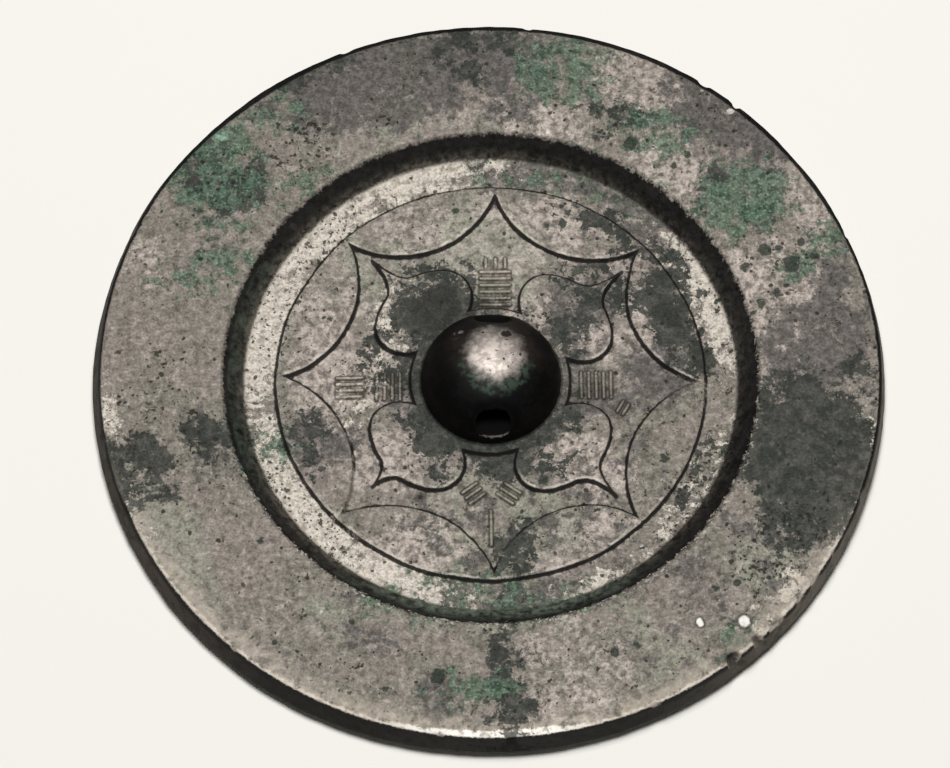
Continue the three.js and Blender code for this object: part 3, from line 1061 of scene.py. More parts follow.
def mark_values(data, pattern, points):
    """Writes on each vertex which part of the casting it is and how deep in each kind of patch."""
    sizes = pattern.sizes
    plan, height = points[:, :2], points[:, 2]
    radius = np.linalg.norm(plan, axis=1)
    _, raised, stroke = field_height(pattern, plan)
    on_field = radius < sizes.band_outer_radius + 0.01
    on_field &= (height < sizes.relief_height + 0.2) & (height > 2)
    add_value(data, "line", np.where(on_field, np.clip(raised, -3, 3), 3))
    add_value(data, "stroke", np.where(on_field, np.clip(stroke, -3, 3), 3))
    underside = height < face_height(sizes, radius) + 0.3
    add_value(data, "under", underside.astype(float))
    reach = tube_reach(sizes, points)
    knob = smooth_share(height, sizes.relief_height + 0.02, sizes.relief_height + 0.5) * (radius < 14)
    add_value(data, "knob", knob)
    add_value(data, "hole", (1 - smooth_share(reach, 0.98, 1.12)) * knob)
    straight = plan + pattern.wander(plan)
    ahead, behind = (pattern.raised(straight + (0, shift)) for shift in (0.15, -0.15))
    add_value(data, "near_side", np.where(on_field, (behind - ahead) / 0.3, 0))
    nicked = smooth_share(nick_depth(sizes, points), 0.55, 1.3)
    add_value(data, "nick", nicked * smooth_share(radius, 73.0, 73.9) * (height > 3))
    for name, patches in PATCH_LISTS.items():
        add_value(data, name, patch_field(plan, patches))
    add_value(data, "dark_spot", spot_field(plan, DARK_SPOTS))
    add_value(data, "pale_spot", spot_field(plan, PALE_SPOTS))


# --- Layout of the finish on a square, used when the finish is baked ----------------------------------

# Where the top with its side wall, the mirror face and the cord hole lie on the unit square
MAIN_CENTRE, MAIN_REACH = 0.436, 0.432
UNDER_CENTRE, UNDER_REACH = 0.852, 0.143
HOLE_CORNER, HOLE_SCALE = (0.87, 0.012), 0.0042
WALL_ROOM = 5.5  # millimetres left for the side wall round the top
HOLE_SEAM = 0.4  # where the cord hole is cut open lengthwise, in radians
HOLE_MEAN_RADIUS = 3.0


def unwrap(data, sizes, points):
    """Lays the top, the side, the underside and the cord hole out on a square, each without overlaps."""
    radius = np.linalg.norm(points[:, :2], axis=1)
    outward = points[:, :2] / np.maximum(radius, 1e-9)[:, None]
    height = points[:, 2]
    on_wall = radius > sizes.mirror_radius - sizes.edge_flare - 0.2
    down = np.maximum(0, sizes.rim_crown_height - 0.5 - height) * on_wall
    knob = knob_profile(sizes)
    travel = np.concatenate(([0], np.cumsum(np.linalg.norm(np.diff(knob, axis=0), axis=1))))
    climbed = np.interp(height, knob[:, 1], travel)
    on_knob = (radius < FIELD_INNER_RADIUS + 1e-4) & (height > 2)
    spread = np.where(on_knob, (travel[-1] - climbed) * FIELD_INNER_RADIUS / travel[-1], radius + down)
    main = MAIN_CENTRE + outward * (spread / (sizes.mirror_radius + WALL_ROOM) * MAIN_REACH)[:, None]
    under = UNDER_CENTRE + points[:, :2] * (-1, 1) * (UNDER_REACH / sizes.mirror_radius)
    around = np.arctan2(
        points[:, 2] - sizes.relief_height - sizes.hole_centre_height, points[:, 0] - sizes.hole_offset
    )
    corners = np.zeros(len(data.loops), np.int32)
    data.loops.foreach_get("vertex_index", corners)
    corners = corners.reshape(-1, 3)
    middle = points[corners].mean(axis=1)
    middle_radius = np.linalg.norm(middle[:, :2], axis=1)
    below = middle[:, 2] < face_height(sizes, middle_radius) + 0.35
    in_hole = (tube_reach(sizes, middle) < 1.0005) & (middle[:, 2] > sizes.relief_height + 0.5)
    in_hole &= middle_radius < FIELD_INNER_RADIUS
    turn = around[corners]
    turn = turn[:, :1] + (turn - turn[:, :1] + math.pi) % (2 * math.pi) - math.pi
    along = points[corners][:, :, 1] + HOLE_REACH
    tube = np.stack((along, (turn + math.pi + HOLE_SEAM) * HOLE_MEAN_RADIUS), axis=-1)
    tube = np.array(HOLE_CORNER) + tube * HOLE_SCALE
    place = main[corners]
    place[below] = under[corners][below]
    place[in_hole] = tube[in_hole]
    layer = data.uv_layers.new(name="OFBake")
    layer.data.foreach_set("uv", place.reshape(-1).astype(np.float32))


# --- Materials ----------------------------------------------------------------------------------------

# The tints that each layer varies between, besides the colours in the panel
TINT = SimpleNamespace(
    metal_grey=tone(131, 126, 115),
    metal_cloud=tone(108, 103, 94),
    metal_dark=tone(88, 83, 76),
    metal_bright=tone(182, 172, 162),
    pale_low=tone(156, 146, 138),
    pale_high=tone(198, 186, 176),
    film_dark=tone(84, 81, 76),
    earth_low=tone(184, 174, 161),
    earth_grey=tone(146, 140, 128),
    tarnish_thin=tone(80, 81, 75),
    tarnish_worn=tone(104, 99, 91),
    tarnish_heart=tone(44, 46, 42),
    green_dark=tone(60, 80, 66),
    green_heart=tone(158, 200, 178),
    pit=tone(40, 38, 34),
    dark_spot=tone(48, 58, 49),
    light_fleck=tone(200, 192, 179),
    pale_spot=tone(222, 216, 206),
    # worn metal with a painted highlight along the near side of the steps
    worn_line_highlight=tone(214, 206, 194),
    stroke_foot=tone(58, 54, 47),
    stroke_top=tone(178, 171, 152),
    slope_brown=tone(42, 37, 33),
    slope_far=tone(14, 13, 11),
    slope_right=tone(16, 14, 13),
    slope_green=tone(50, 58, 50),
    slope_foot=tone(84, 78, 68),
    slope_near=tone(80, 88, 77),
    slope_lip=tone(12, 11, 10),
    lip_crumb=tone(206, 199, 186),
    # painted sheen and painted highlight along the rim's near outer edge
    edge_sheen_haze=tone(188, 177, 162),
    edge_highlight_line=tone(208, 199, 186),
    edge_highlight_nearest=tone(250, 244, 234),
    wall_black=tone(9, 8, 7),
    wall_brown=tone(25, 22, 19),
    # painted light on the lower side wall, on its right and left sides
    wall_right_lit=tone(112, 106, 97),
    wall_left_lit=tone(78, 70, 62),
    # painted shadow just under the rim's lip
    wall_top_shadow=tone(4, 4, 4),
    grain_halo=tone(62, 59, 56),
    grain=tone(232, 229, 222),
    crown_low=tone(178, 168, 160),
    crown_high=tone(216, 205, 196),
    knob_brown=tone(17, 14, 13),
    knob_ring=tone(46, 40, 37),
    knob_green=tone(56, 70, 58),
    knob_pit=tone(14, 13, 12),
    knob_glint=tone(132, 128, 122),
    # the inside of the cord hole, painted near black as shade
    hole=tone(6, 6, 6),
    # painted highlight on the lower lip of the cord hole
    sill_highlight=tone(128, 121, 110),
    face_dark=tone(86, 89, 81),
    face_light=tone(122, 117, 107),
    face_green=tone(74, 98, 82),
)


class Graph:
    """Adds nodes to a material or a node group, so that a finish reads as a list of steps."""

    def __init__(self, tree):
        self.tree = tree

    def node(self, kind, inputs=(), **settings):
        """A node, with its settings and its inputs set or linked."""
        made = self.tree.nodes.new(kind)
        for name, value in settings.items():
            setattr(made, name, value)
        for name, value in dict(inputs).items():
            self.feed(made.inputs[name], value)
        return made

    def feed(self, socket, value):
        """Links an output to a socket, or sets the socket's own value."""
        if isinstance(value, bpy.types.NodeSocket):
            self.tree.links.new(value, socket)
        elif value is not None:
            if socket.type == "RGBA" and len(value) == 3:
                value = (*value, 1.0)
            socket.default_value = value

    def math(self, operation, first, second=None, third=None):
        """One step of arithmetic."""
        made = self.node("ShaderNodeMath", operation=operation)
        for socket, value in zip(made.inputs, (first, second, third)):
            self.feed(socket, value)
        return made.outputs[0]

    def vector(self, operation, first, second=None):
        """One step of arithmetic on places. A length or a distance comes out as a number."""
        made = self.node("ShaderNodeVectorMath", operation=operation)
        for socket, value in zip(made.inputs, (first, second)):
            self.feed(socket, value)
        return made.outputs["Value" if operation in ("LENGTH", "DISTANCE") else "Vector"]

    def rise(self, value, low, high, start=0.0, end=1.0):
        """A soft rise from start to end as the value goes from low to high."""
        made = self.node("ShaderNodeMapRange", interpolation_type="SMOOTHSTEP")
        for socket, given in zip(made.inputs, (value, low, high, start, end)):
            self.feed(socket, given)
        return made.outputs[0]

    def gate(self, value, low, low_full, high_full, high):
        """1 between two values, falling off on both sides."""
        return self.times(self.rise(value, low, low_full), self.rise(value, high_full, high, 1.0, 0.0))

    def times(self, *factors):
        """Several shares multiplied together."""
        product = factors[0]
        for factor in factors[1:]:
            product = self.math("MULTIPLY", product, factor)
        return product

    def most(self, *values):
        """The largest of several values."""
        largest = values[0]
        for value in values[1:]:
            largest = self.math("MAXIMUM", largest, value)
        return largest

    def less(self, share):
        """What is left of 1."""
        return self.math("SUBTRACT", 1.0, share)

    def stirred(self, value, noise, reach):
        """A value moved up and down by noise, by half the reach at most."""
        return self.math("MULTIPLY_ADD", self.math("SUBTRACT", noise, 0.5), reach, value)

    def mix(self, share, first, second, blend="MIX"):
        """Two colours mixed by a share."""
        made = self.node("ShaderNodeMix", data_type="RGBA", blend_type=blend, clamp_factor=True)
        for socket, value in ((made.inputs[0], share), (made.inputs[6], first), (made.inputs[7], second)):
            self.feed(socket, value)
        return made.outputs[2]

    def shaded(self, colour, level):
        """A colour made darker or lighter by a level, where 1 leaves it as it is."""
        grey = self.node("ShaderNodeCombineColor", {0: level, 1: level, 2: level})
        return self.mix(1.0, colour, grey.outputs[0], "MULTIPLY")

    def blend(self, share, first, second):
        """Two numbers mixed by a share."""
        made = self.node("ShaderNodeMix", data_type="FLOAT", clamp_factor=True)
        for socket, value in ((made.inputs[0], share), (made.inputs[2], first), (made.inputs[3], second)):
            self.feed(socket, value)
        return made.outputs[0]

    def noise(self, place, lump, detail, roughness):
        """Noise from 0 to 1 with lumps about so many millimetres wide."""
        inputs = {"Vector": place, "Scale": 1 / (lump * MM), "Detail": detail, "Roughness": roughness}
        return self.node("ShaderNodeTexNoise", inputs).outputs["Fac"]

    def value_at(self, name):
        """A number that the mesh carries."""
        return self.node("ShaderNodeAttribute", attribute_name=name).outputs["Fac"]

    def group(self, tree, inputs):
        """A node group's outputs, with its inputs set or linked."""
        made = self.node("ShaderNodeGroup", node_tree=tree)
        for name, value in inputs.items():
            self.feed(made.inputs[name], value)
        return made.outputs


def new_group(name, inputs, outputs):
    """An empty node group with named sockets, as (group, graph, inputs, output node)."""
    tree = bpy.data.node_groups.new(name, "ShaderNodeTree")
    for kind, sockets in (("INPUT", inputs), ("OUTPUT", outputs)):
        for socket_name, socket_type, default in sockets:
            made = tree.interface.new_socket(socket_name, in_out=kind, socket_type=socket_type)
            if default is not None:
                made.default_value = default
    graph = Graph(tree)
    start = graph.node("NodeGroupInput").outputs
    end = graph.node("NodeGroupOutput")
    return tree, graph, start, end


def shifted_place(graph, given):
    """A group's place, moved by its seed so that no two uses of the group look alike."""
    shift = graph.node("ShaderNodeCombineXYZ", {"X": given["Seed"], "Y": given["Seed"]})
    return graph.vector("ADD", given["Vector"], shift.outputs[0])


def torn_patch_group():
    """A patch with a torn edge: a soft field broken up by coarse, middling and fine noise."""
    tree, graph, given, out = new_group(
        "Torn Patch",
        (
            ("Vector", "NodeSocketVector", None),
            ("Field", "NodeSocketFloat", 0.0),
            ("Scale", "NodeSocketFloat", 250.0),
            ("Tear", "NodeSocketFloat", 1.0),
            ("Softness", "NodeSocketFloat", 0.15),
            ("Seed", "NodeSocketFloat", 0.0),
        ),
        (("Mask", "NodeSocketFloat", None),),
    )
    place = shifted_place(graph, given)
    level = given["Field"]
    for finer, weight in ((1.0, 4.6), (3.4, 2.8), (11.0, 1.8)):
        inputs = {
            "Vector": place,
            "Scale": graph.math("MULTIPLY", given["Scale"], finer),
            "Detail": 3.0,
            "Roughness": 0.55,
        }
        noise = graph.node("ShaderNodeTexNoise", inputs).outputs["Fac"]
        tear = graph.stirred(0.0, noise, weight)
        level = graph.math("MULTIPLY_ADD", tear, given["Tear"], level)
    below = graph.math("MULTIPLY", given["Softness"], -1.0)
    graph.feed(out.inputs["Mask"], graph.rise(level, below, given["Softness"]))
    return tree


def flecks_group():
    """Scattered flecks with ragged outlines: more of them, and larger, where the density is high."""
    tree, graph, given, out = new_group(
        "Flecks",
        (
            ("Vector", "NodeSocketVector", None),
            ("Scale", "NodeSocketFloat", 1000.0),
            ("Density", "NodeSocketFloat", 0.3),
            ("Seed", "NodeSocketFloat", 0.0),
        ),
        (("Mask", "NodeSocketFloat", None),),
    )
    place = shifted_place(graph, given)
    inputs = {"Vector": place, "Scale": given["Scale"], "Detail": 2.0, "Roughness": 0.6}
    noise = graph.node("ShaderNodeTexNoise", inputs).outputs["Fac"]
    gate = graph.math("SUBTRACT", 0.78, graph.math("MULTIPLY", given["Density"], 0.28))
    graph.feed(out.inputs["Mask"], graph.rise(noise, gate, graph.math("ADD", gate, 0.05)))
    return tree


class AgedBronze(Graph):
    """The casting's finish, laid down from the bare metal up. Radii and heights are in millimetres.

    Right is 1 towards +X and away is 1 towards +Y, the side that is far from the camera.
    """

    def __init__(self, tree, colours):
        super().__init__(tree)
        names = PatinaColours.__annotations__
        self.colours = SimpleNamespace(**{name: tuple(getattr(colours, name)) for name in names})
        self.torn, self.flecks = torn_patch_group(), flecks_group()
        self.place = self.node("ShaderNodeTexCoord").outputs["Object"]
        self.shaken = self.place
        for scale, reach in ((330.0, 1.4), (1300.0, 0.25)):
            drift = self.node("ShaderNodeTexNoise", {"Vector": self.place, "Scale": scale, "Detail": 2.0})
            drift = self.vector("SUBTRACT", drift.outputs["Color"], (0.5, 0.5, 0.5))
            drift = self.vector("MULTIPLY", drift, (reach * MM, reach * MM, reach * MM))
            self.shaken = self.vector("ADD", self.shaken, drift)
        self.outward = self.vector("NORMALIZE", self.place)
        heading = self.node("ShaderNodeSeparateXYZ", {"Vector": self.outward}).outputs
        self.right, self.away = heading["X"], heading["Y"]
        flat_place = self.vector("MULTIPLY", self.place, (1, 1, 0))
        self.radius = self.math("DIVIDE", self.vector("LENGTH", flat_place), MM)
        height = self.node("ShaderNodeSeparateXYZ", {"Vector": self.place}).outputs["Z"]
        self.height = self.math("DIVIDE", height, MM)
        self.broad = self.noise(self.place, 11.0, 3.0, 0.5)
        self.cloud = self.noise(self.shaken, 3.2, 6.0, 0.68)
        self.mottle = self.noise(self.shaken, 1.35, 3.0, 0.55)
        self.grain = self.noise(self.place, 0.5, 2.0, 0.6)
        self.torn_radius = self.stirred(self.radius, self.cloud, 3.0)
        ragged = self.stirred(0.0, self.mottle, 1.1)
        self.ragged = self.stirred(ragged, self.grain, 0.9)

    def patch(self, name, lump, tear, softness, seed):
        """The mask of one kind of patch, with lumps about so many millimetres wide."""
        inputs = {
            "Vector": self.shaken,
            "Field": self.value_at(name),
            "Scale": 1 / (lump * MM),
            "Tear": tear,
            "Softness": softness,
            "Seed": seed,
        }
        return self.group(self.torn, inputs)["Mask"]

    def fleck(self, lump, density, seed):
        """The mask of flecks about so many millimetres wide."""
        inputs = {"Vector": self.shaken, "Scale": 1 / (lump * MM), "Density": density, "Seed": seed}
        return self.group(self.flecks, inputs)["Mask"]

    def distance_from(self, spot):
        """The distance from a spot, both in millimetres, a little shaken."""
        metres = self.vector("DISTANCE", self.shaken, tuple(part * MM for part in spot))
        return self.math("DIVIDE", metres, MM)

    def lay(self, share, tint):
        """Covers the skin so far with another tint, by a share."""
        self.tint = self.mix(share, self.tint, tint)

    def metal(self):
        """The metal itself: tones in ragged clouds, with paler and more olive stretches."""
        self.tint = self.mix(self.rise(self.broad, 0.38, 0.62), self.colours.metal, TINT.metal_grey)
        self.lay(self.rise(self.cloud, 0.38, 0.47, 0.55, 0.0), TINT.metal_cloud)
        self.lay(self.rise(self.cloud, 0.54, 0.64, 0.0, 0.7), self.colours.metal_light)
        pale_tint = self.mix(self.rise(self.mottle, 0.4, 0.6), TINT.pale_low, TINT.pale_high)
        self.lay(self.times(self.patch("pale", 4.0, 0.9, 0.7, 0.1), 0.8), pale_tint)
        self.lay(self.times(self.patch("olive", 5.0, 1.0, 0.6, 0.2), 0.68), self.colours.olive)
        self.lay(self.rise(self.mottle, 0.32, 0.47, 0.55, 0.0), TINT.metal_dark)
        self.lay(self.rise(self.mottle, 0.54, 0.7, 0.0, 0.45), TINT.metal_bright)

    def film(self):
        """The thin brownish film."""
        tint = self.mix(self.rise(self.mottle, 0.42, 0.6), TINT.film_dark, self.colours.film)
        self.lay(self.times(self.patch("film", 4.5, 1.0, 0.35, 0.3), 0.85), tint)

    def earth_crust(self):
        """Dried earth: in the star's middle, in the sunk band and on the rim, and thin elsewhere."""
        room = self.most(
            self.rise(self.torn_radius, 31.0, 29.0),
            self.gate(self.torn_radius, 40.6, 41.4, 48.0, 49.5),
            self.rise(self.torn_radius, 58.0, 61.0),
        )
        self.earth = self.times(self.patch("earth", 2.6, 1.0, 0.3, 0.4), self.blend(room, 0.12, 1.0))
        tint = self.mix(self.rise(self.mottle, 0.34, 0.56), TINT.earth_low, self.colours.earth)
        tint = self.mix(self.rise(self.cloud, 0.42, 0.34, 0.0, 0.5), tint, TINT.earth_grey)
        self.lay(self.times(self.earth, 0.92), tint)

    def dark_tarnish(self):
        """The dark grey film, darkest in the heart of its patches."""
        softness = self.rise(self.radius, 44.0, 54.0, 0.14, 0.28)
        self.tarnish = self.patch("tarnish", 5.0, 1.0, softness, 0.5)
        tint = self.mix(self.rise(self.cloud, 0.42, 0.62), self.colours.tarnish, TINT.tarnish_thin)
        tint = self.mix(self.rise(self.mottle, 0.52, 0.7, 0.0, 0.5), tint, TINT.tarnish_worn)
        heart = self.times(
            self.rise(self.value_at("tarnish"), 0.8, 1.2),
            self.rise(self.radius, 44.0, 41.0),
        )
        self.tarnish_tint = self.mix(self.times(heart, 0.7), tint, TINT.tarnish_heart)
        self.lay(self.times(self.tarnish, 0.95), self.tarnish_tint)

    def green_crust(self):
        """The green corrosion, palest in the heart of its patches."""
        self.green = self.patch("green", 3.4, 1.15, 0.32, 0.6)
        tint = self.mix(self.rise(self.mottle, 0.38, 0.58), TINT.green_dark, self.colours.malachite)
        tint = self.mix(self.rise(self.grain, 0.55, 0.72, 0.0, 0.7), tint, self.colours.malachite_light)
        heart = self.rise(self.value_at("green"), 0.9, 1.25)
        tint = self.mix(self.times(heart, self.rise(self.mottle, 0.36, 0.56)), tint, TINT.green_heart)
        self.lay(self.times(self.green, 0.78), tint)

    def knob_shadow_and_tarnish(self):
        """A dark ring round the knob's foot, on its near and left sides, in the tarnish's colour: partly
        tarnish, partly the knob's painted shadow.
        """
        shade = self.times(
            self.gate(self.torn_radius, 12.0, 13.4, 15.4, 17.4),
            self.rise(self.away, 0.5, -0.1),
            self.rise(self.right, 0.9, 0.5),
        )
        self.lay(self.times(shade, 0.9), self.tarnish_tint)

    def specks(self):
        """Pits, spots, flecks and an uneven grain."""
        pitted = self.rise(self.value_at("pitted"), -0.3, 0.8)
        density = self.math("MULTIPLY_ADD", pitted, 0.26, self.rise(self.broad, 0.4, 0.6, 0.18, 0.4))
        cells = self.node(
            "ShaderNodeTexVoronoi", {"Vector": self.shaken, "Scale": 1 / (1.5 * MM)}, voronoi_dimensions="2D"
        ).outputs
        chance = self.node("ShaderNodeSeparateColor", {"Color": cells["Color"]}).outputs
        pit_reach = self.math("MULTIPLY_ADD", chance["Red"], 0.2, 0.07)
        pit_away = self.math("SUBTRACT", cells["Distance"], pit_reach)
        pit_share = self.math("MULTIPLY_ADD", pitted, 0.36, chance["Green"])
        round_pits = self.times(self.rise(pit_away, 0.07, -0.05), self.rise(pit_share, 0.925, 0.955))
        self.pits = self.most(self.fleck(1.5, density, 1.1), self.fleck(0.8, density, 1.2), round_pits)
        self.lay(self.times(self.pits, 0.85), TINT.pit)
        spot = self.stirred(self.value_at("dark_spot"), self.mottle, 2.6)
        spot = self.stirred(spot, self.cloud, 1.6)
        self.dark_spot = self.rise(spot, -0.2, 0.25)
        self.lay(self.times(self.dark_spot, 0.88), TINT.dark_spot)
        light_flecks = self.fleck(1.0, self.math("MULTIPLY_ADD", pitted, 0.2, 0.1), 1.3)
        untarnished = self.less(self.times(self.tarnish, 0.8))
        self.lay(self.times(light_flecks, untarnished, 0.6), TINT.light_fleck)
        pale_spot = self.rise(self.stirred(self.value_at("pale_spot"), self.mottle, 1.2), -0.05, 0.25)
        self.lay(self.times(pale_spot, 0.9), TINT.pale_spot)
        self.tint = self.shaded(self.tint, self.rise(self.grain, 0.32, 0.68, 0.74, 1.16))

    def grooves(self):
        """Soot in the grooves beside the steps, widened by painted shade on their near side, and above them
        on that side a pale line of worn metal with a painted highlight.
        """
        faint = self.patch("faint", 3.0, 0.8, 0.4, 0.7)
        near = self.value_at("near_side")
        line = self.stirred(self.value_at("line"), self.mottle, 0.55)
        # the groove widens on the near side of each step: painted shade of the step's wall
        reach = self.math(
            "ADD", self.rise(near, -0.5, 0.8, 0.43, 0.53), self.rise(self.cloud, 0.35, 0.65, -0.1, 0.1)
        )
        reach = self.math("MULTIPLY_ADD", self.rise(self.right, 0.1, -0.7), 0.1, reach)
        self.groove_soot_and_shade = self.times(
            self.rise(line, -0.34, -0.14),
            self.rise(line, self.math("MULTIPLY", reach, 0.5), reach, 1.0, 0.0),
            self.less(self.times(faint, 0.8)),
        )
        # a pale line on the raised edge of each step's near side: worn metal with a painted highlight
        worn = self.times(
            self.gate(line, -1.0, -0.6, -0.42, -0.28),
            self.rise(near, 0.1, 0.8),
            self.rise(self.cloud, 0.42, 0.56),
            self.rise(self.radius, 17.0, 19.0),
        )
        self.lay(self.times(worn, 0.6), TINT.worn_line_highlight)
        self.lay(self.times(self.groove_soot_and_shade, 0.94), self.colours.soot)

    def strokes(self):
        """The short strokes: darker along their feet, and a worn top."""
        stroke = self.stirred(self.value_at("stroke"), self.mottle, 0.35)
        foot = self.gate(stroke, -0.2, 0.0, 0.15, 0.45)
        self.lay(self.times(foot, self.rise(self.cloud, 0.35, 0.6, 0.35, 0.8)), TINT.stroke_foot)
        top = self.rise(stroke, -0.3, -0.12, 1.0, 0.0)
        self.lay(self.times(top, self.rise(self.cloud, 0.35, 0.6, 0.2, 0.55)), TINT.stroke_top)

    def inner_slope(self):
        """The rim's dark inner slope and the pale crumbs along its lip."""
        radius = self.math("ADD", self.radius, self.ragged)
        streak = self.noise(self.outward, 8.0, 5.0, 0.75)
        tint = self.mix(self.rise(streak, 0.45, 0.62), self.colours.soot, TINT.slope_brown)
        tint = self.mix(self.rise(self.away, 0.2, 0.8, 0.0, 0.95), tint, TINT.slope_far)
        tint = self.mix(self.rise(self.right, 0.15, 0.6, 0.0, 0.85), tint, TINT.slope_right)
        green_side = self.most(self.rise(self.right, -0.78, -0.95), self.rise(self.away, -0.7, -0.95))
        green_side = self.times(green_side, self.rise(self.cloud, 0.4, 0.56, 0.1, 0.85))
        tint = self.mix(green_side, tint, TINT.slope_green)
        foot = self.times(
            self.rise(radius, 49.4, 47.6),
            self.rise(self.right, 0.75, 0.2, 0.45, 1.0),
            self.rise(self.mottle, 0.4, 0.62, 0.15, 0.6),
        )
        tint = self.mix(foot, tint, TINT.slope_foot)
        near = self.times(
            self.rise(radius, 50.4, 48.6),
            self.rise(self.away, -0.8, -0.97),
            self.rise(self.mottle, 0.36, 0.6, 0.45, 1.0),
        )
        tint = self.mix(near, tint, TINT.slope_near)
        lip = self.gate(radius, 50.1, 50.5, 51.0, 51.3)
        lip = self.times(lip, self.rise(self.cloud, 0.38, 0.54, 0.2, 0.9))
        tint = self.mix(lip, tint, TINT.slope_lip)
        level = self.stirred(self.stirred(0.92, self.mottle, 3.4), self.cloud, 2.2)
        tint = self.shaded(tint, self.math("MAXIMUM", level, 0.25))
        self.slope = self.gate(radius, 46.8, 47.6, 50.9, 51.5)
        self.lay(self.times(self.slope, 0.96), tint)
        crumbs = self.times(
            self.gate(radius, 50.7, 51.1, 51.7, 52.5),
            self.fleck(0.9, 0.75, 1.4),
            self.most(self.rise(self.away, -0.2, -0.5), self.rise(self.right, 0.3, 0.6, 0.0, 0.7)),
        )
        self.lay(self.times(crumbs, 0.75), TINT.lip_crumb)

    def outer_edge(self):
        """A painted sheen near the rim's outer edge and a pale line along it, worn metal with a painted
        highlight, both on the near side.
        """
        radius = self.math("MULTIPLY_ADD", self.ragged, 0.5, self.radius)
        bare = self.less(self.times(self.tarnish, 0.9))
        # painted sheen on the rim's top towards its outer edge, on the near side only
        sheen_haze = self.times(
            self.rise(radius, 69.0, 73.6),
            self.rise(self.away, -0.1, -0.45),
            self.rise(self.cloud, 0.34, 0.54),
            bare,
        )
        self.lay(self.times(sheen_haze, 0.6), TINT.edge_sheen_haze)
        nearest = self.rise(self.away, -0.95, -0.995)
        start = self.math("MULTIPLY_ADD", nearest, -0.75, 73.35)
        # the pale line: worn metal with a painted highlight, brightest nearest the camera
        line = self.times(
            self.rise(self.stirred(radius, self.cloud, 1.6), start, self.math("ADD", start, 0.5)),
            self.rise(self.mottle, 0.36, 0.48, 0.35, 1.0),
            self.rise(self.away, -0.1, -0.45),
            bare,
        )
        tint = self.mix(nearest, TINT.edge_highlight_line, TINT.edge_highlight_nearest)
        self.lay(self.times(line, 0.92), tint)

    def side_wall(self):
        """The dark side wall, which starts further in or out on each side, and the broken nicks, with
        painted light on its lower part on the right and left and a painted shadow just under the lip.
        """
        radius = self.math("MULTIPLY_ADD", self.ragged, 0.5, self.radius)
        left = self.times(self.rise(self.right, -0.6, -0.86), self.rise(self.away, -0.5, -0.3))
        shift = self.most(
            self.times(self.rise(self.away, -0.1, -0.45), 0.6),
            self.times(self.rise(self.right, 0.85, 0.97), 0.45),
            self.times(left, 0.9),
        )
        start = self.math("ADD", shift, 73.4)
        top = self.math("MULTIPLY_ADD", left, -0.6, 6.75)
        self.wall = self.most(
            self.rise(radius, start, self.math("ADD", start, 0.3)),
            self.times(
                self.rise(self.radius, 74.0, 74.3),
                self.rise(self.height, top, self.math("SUBTRACT", top, 0.25)),
            ),
            self.value_at("nick"),
        )
        tint = self.mix(self.rise(self.cloud, 0.48, 0.62), TINT.wall_black, TINT.wall_brown)
        # painted light on the lower part of the wall, strongest on its right side and fainter on its left
        lower = self.rise(self.height, 6.3, 5.2)
        lit = self.times(self.rise(self.right, 0.3, 0.9), lower)
        lit = self.times(lit, self.rise(self.cloud, 0.36, 0.54, 0.45, 1.0))
        tint = self.mix(lit, tint, TINT.wall_right_lit)
        lit_left = self.times(self.rise(self.right, -0.5, -0.9), lower)
        lit_left = self.times(lit_left, self.rise(self.cloud, 0.36, 0.54, 0.3, 0.8))
        tint = self.mix(lit_left, tint, TINT.wall_left_lit)
        # painted shadow: the wall is darkest just under the overhanging lip
        tint = self.mix(self.rise(self.height, 5.2, 6.2, 0.0, 0.9), tint, TINT.wall_top_shadow)
        self.lay(self.times(self.wall, 0.97), tint)

    def mineral_grains(self):
        """The white grains and their dark halos."""
        grains = 0.0
        for x, y, reach in MINERAL_GRAINS:
            distance = self.distance_from((x, y, GRAIN_HEIGHT))
            self.lay(self.rise(distance, reach * 0.95, reach * 1.6, 0.7, 0.0), TINT.grain_halo)
            grains = self.math("MAXIMUM", grains, self.rise(distance, reach * 0.6, reach, 1.0, 0.0))
        self.lay(grains, TINT.grain)

    def knob_skin(self):
        """The knob, dark and smooth with a worn crown, and its pierced hole, painted near black inside as
        shade, with a painted highlight on its lower lip.
        """
        self.knob, self.hole = self.value_at("knob"), self.value_at("hole")
        from_crown = self.stirred(self.distance_from(CROWN_PLACE), self.cloud, 6.0)
        self.crown = self.times(self.rise(from_crown, 2.8, 6.9, 1.0, 0.0), self.knob)
        tint = self.mix(self.rise(self.cloud, 0.46, 0.62, 0.0, 0.8), self.colours.glaze, TINT.knob_brown)
        ring_share = self.times(
            self.rise(from_crown, 12.5, 5.5),
            self.rise(self.away, -0.25, 0.15),
            self.rise(self.cloud, 0.38, 0.6, 0.35, 1.0),
        )
        tint = self.mix(ring_share, tint, TINT.knob_ring)
        green = self.times(
            self.gate(from_crown, 4.6, 5.8, 7.0, 8.8),
            self.rise(self.away, 0.05, -0.1),
            self.rise(self.mottle, 0.44, 0.57, 0.1, 0.95),
        )
        tint = self.mix(green, tint, TINT.knob_green)
        crown_tint = self.mix(self.rise(self.mottle, 0.4, 0.6), TINT.crown_low, TINT.crown_high)
        tint = self.mix(self.crown, tint, crown_tint)
        tint = self.mix(self.times(self.most(self.pits, self.dark_spot), 0.9), tint, TINT.knob_pit)
        glint = self.times(
            self.rise(self.distance_from(GLINT_PLACE), 1.4, 0.5), self.rise(self.mottle, 0.4, 0.55), 0.7
        )
        tint = self.mix(glint, tint, TINT.knob_glint)
        self.lay(self.knob, tint)
        # the inside of the cord hole painted near black: painted shade
        self.lay(self.hole, TINT.hole)
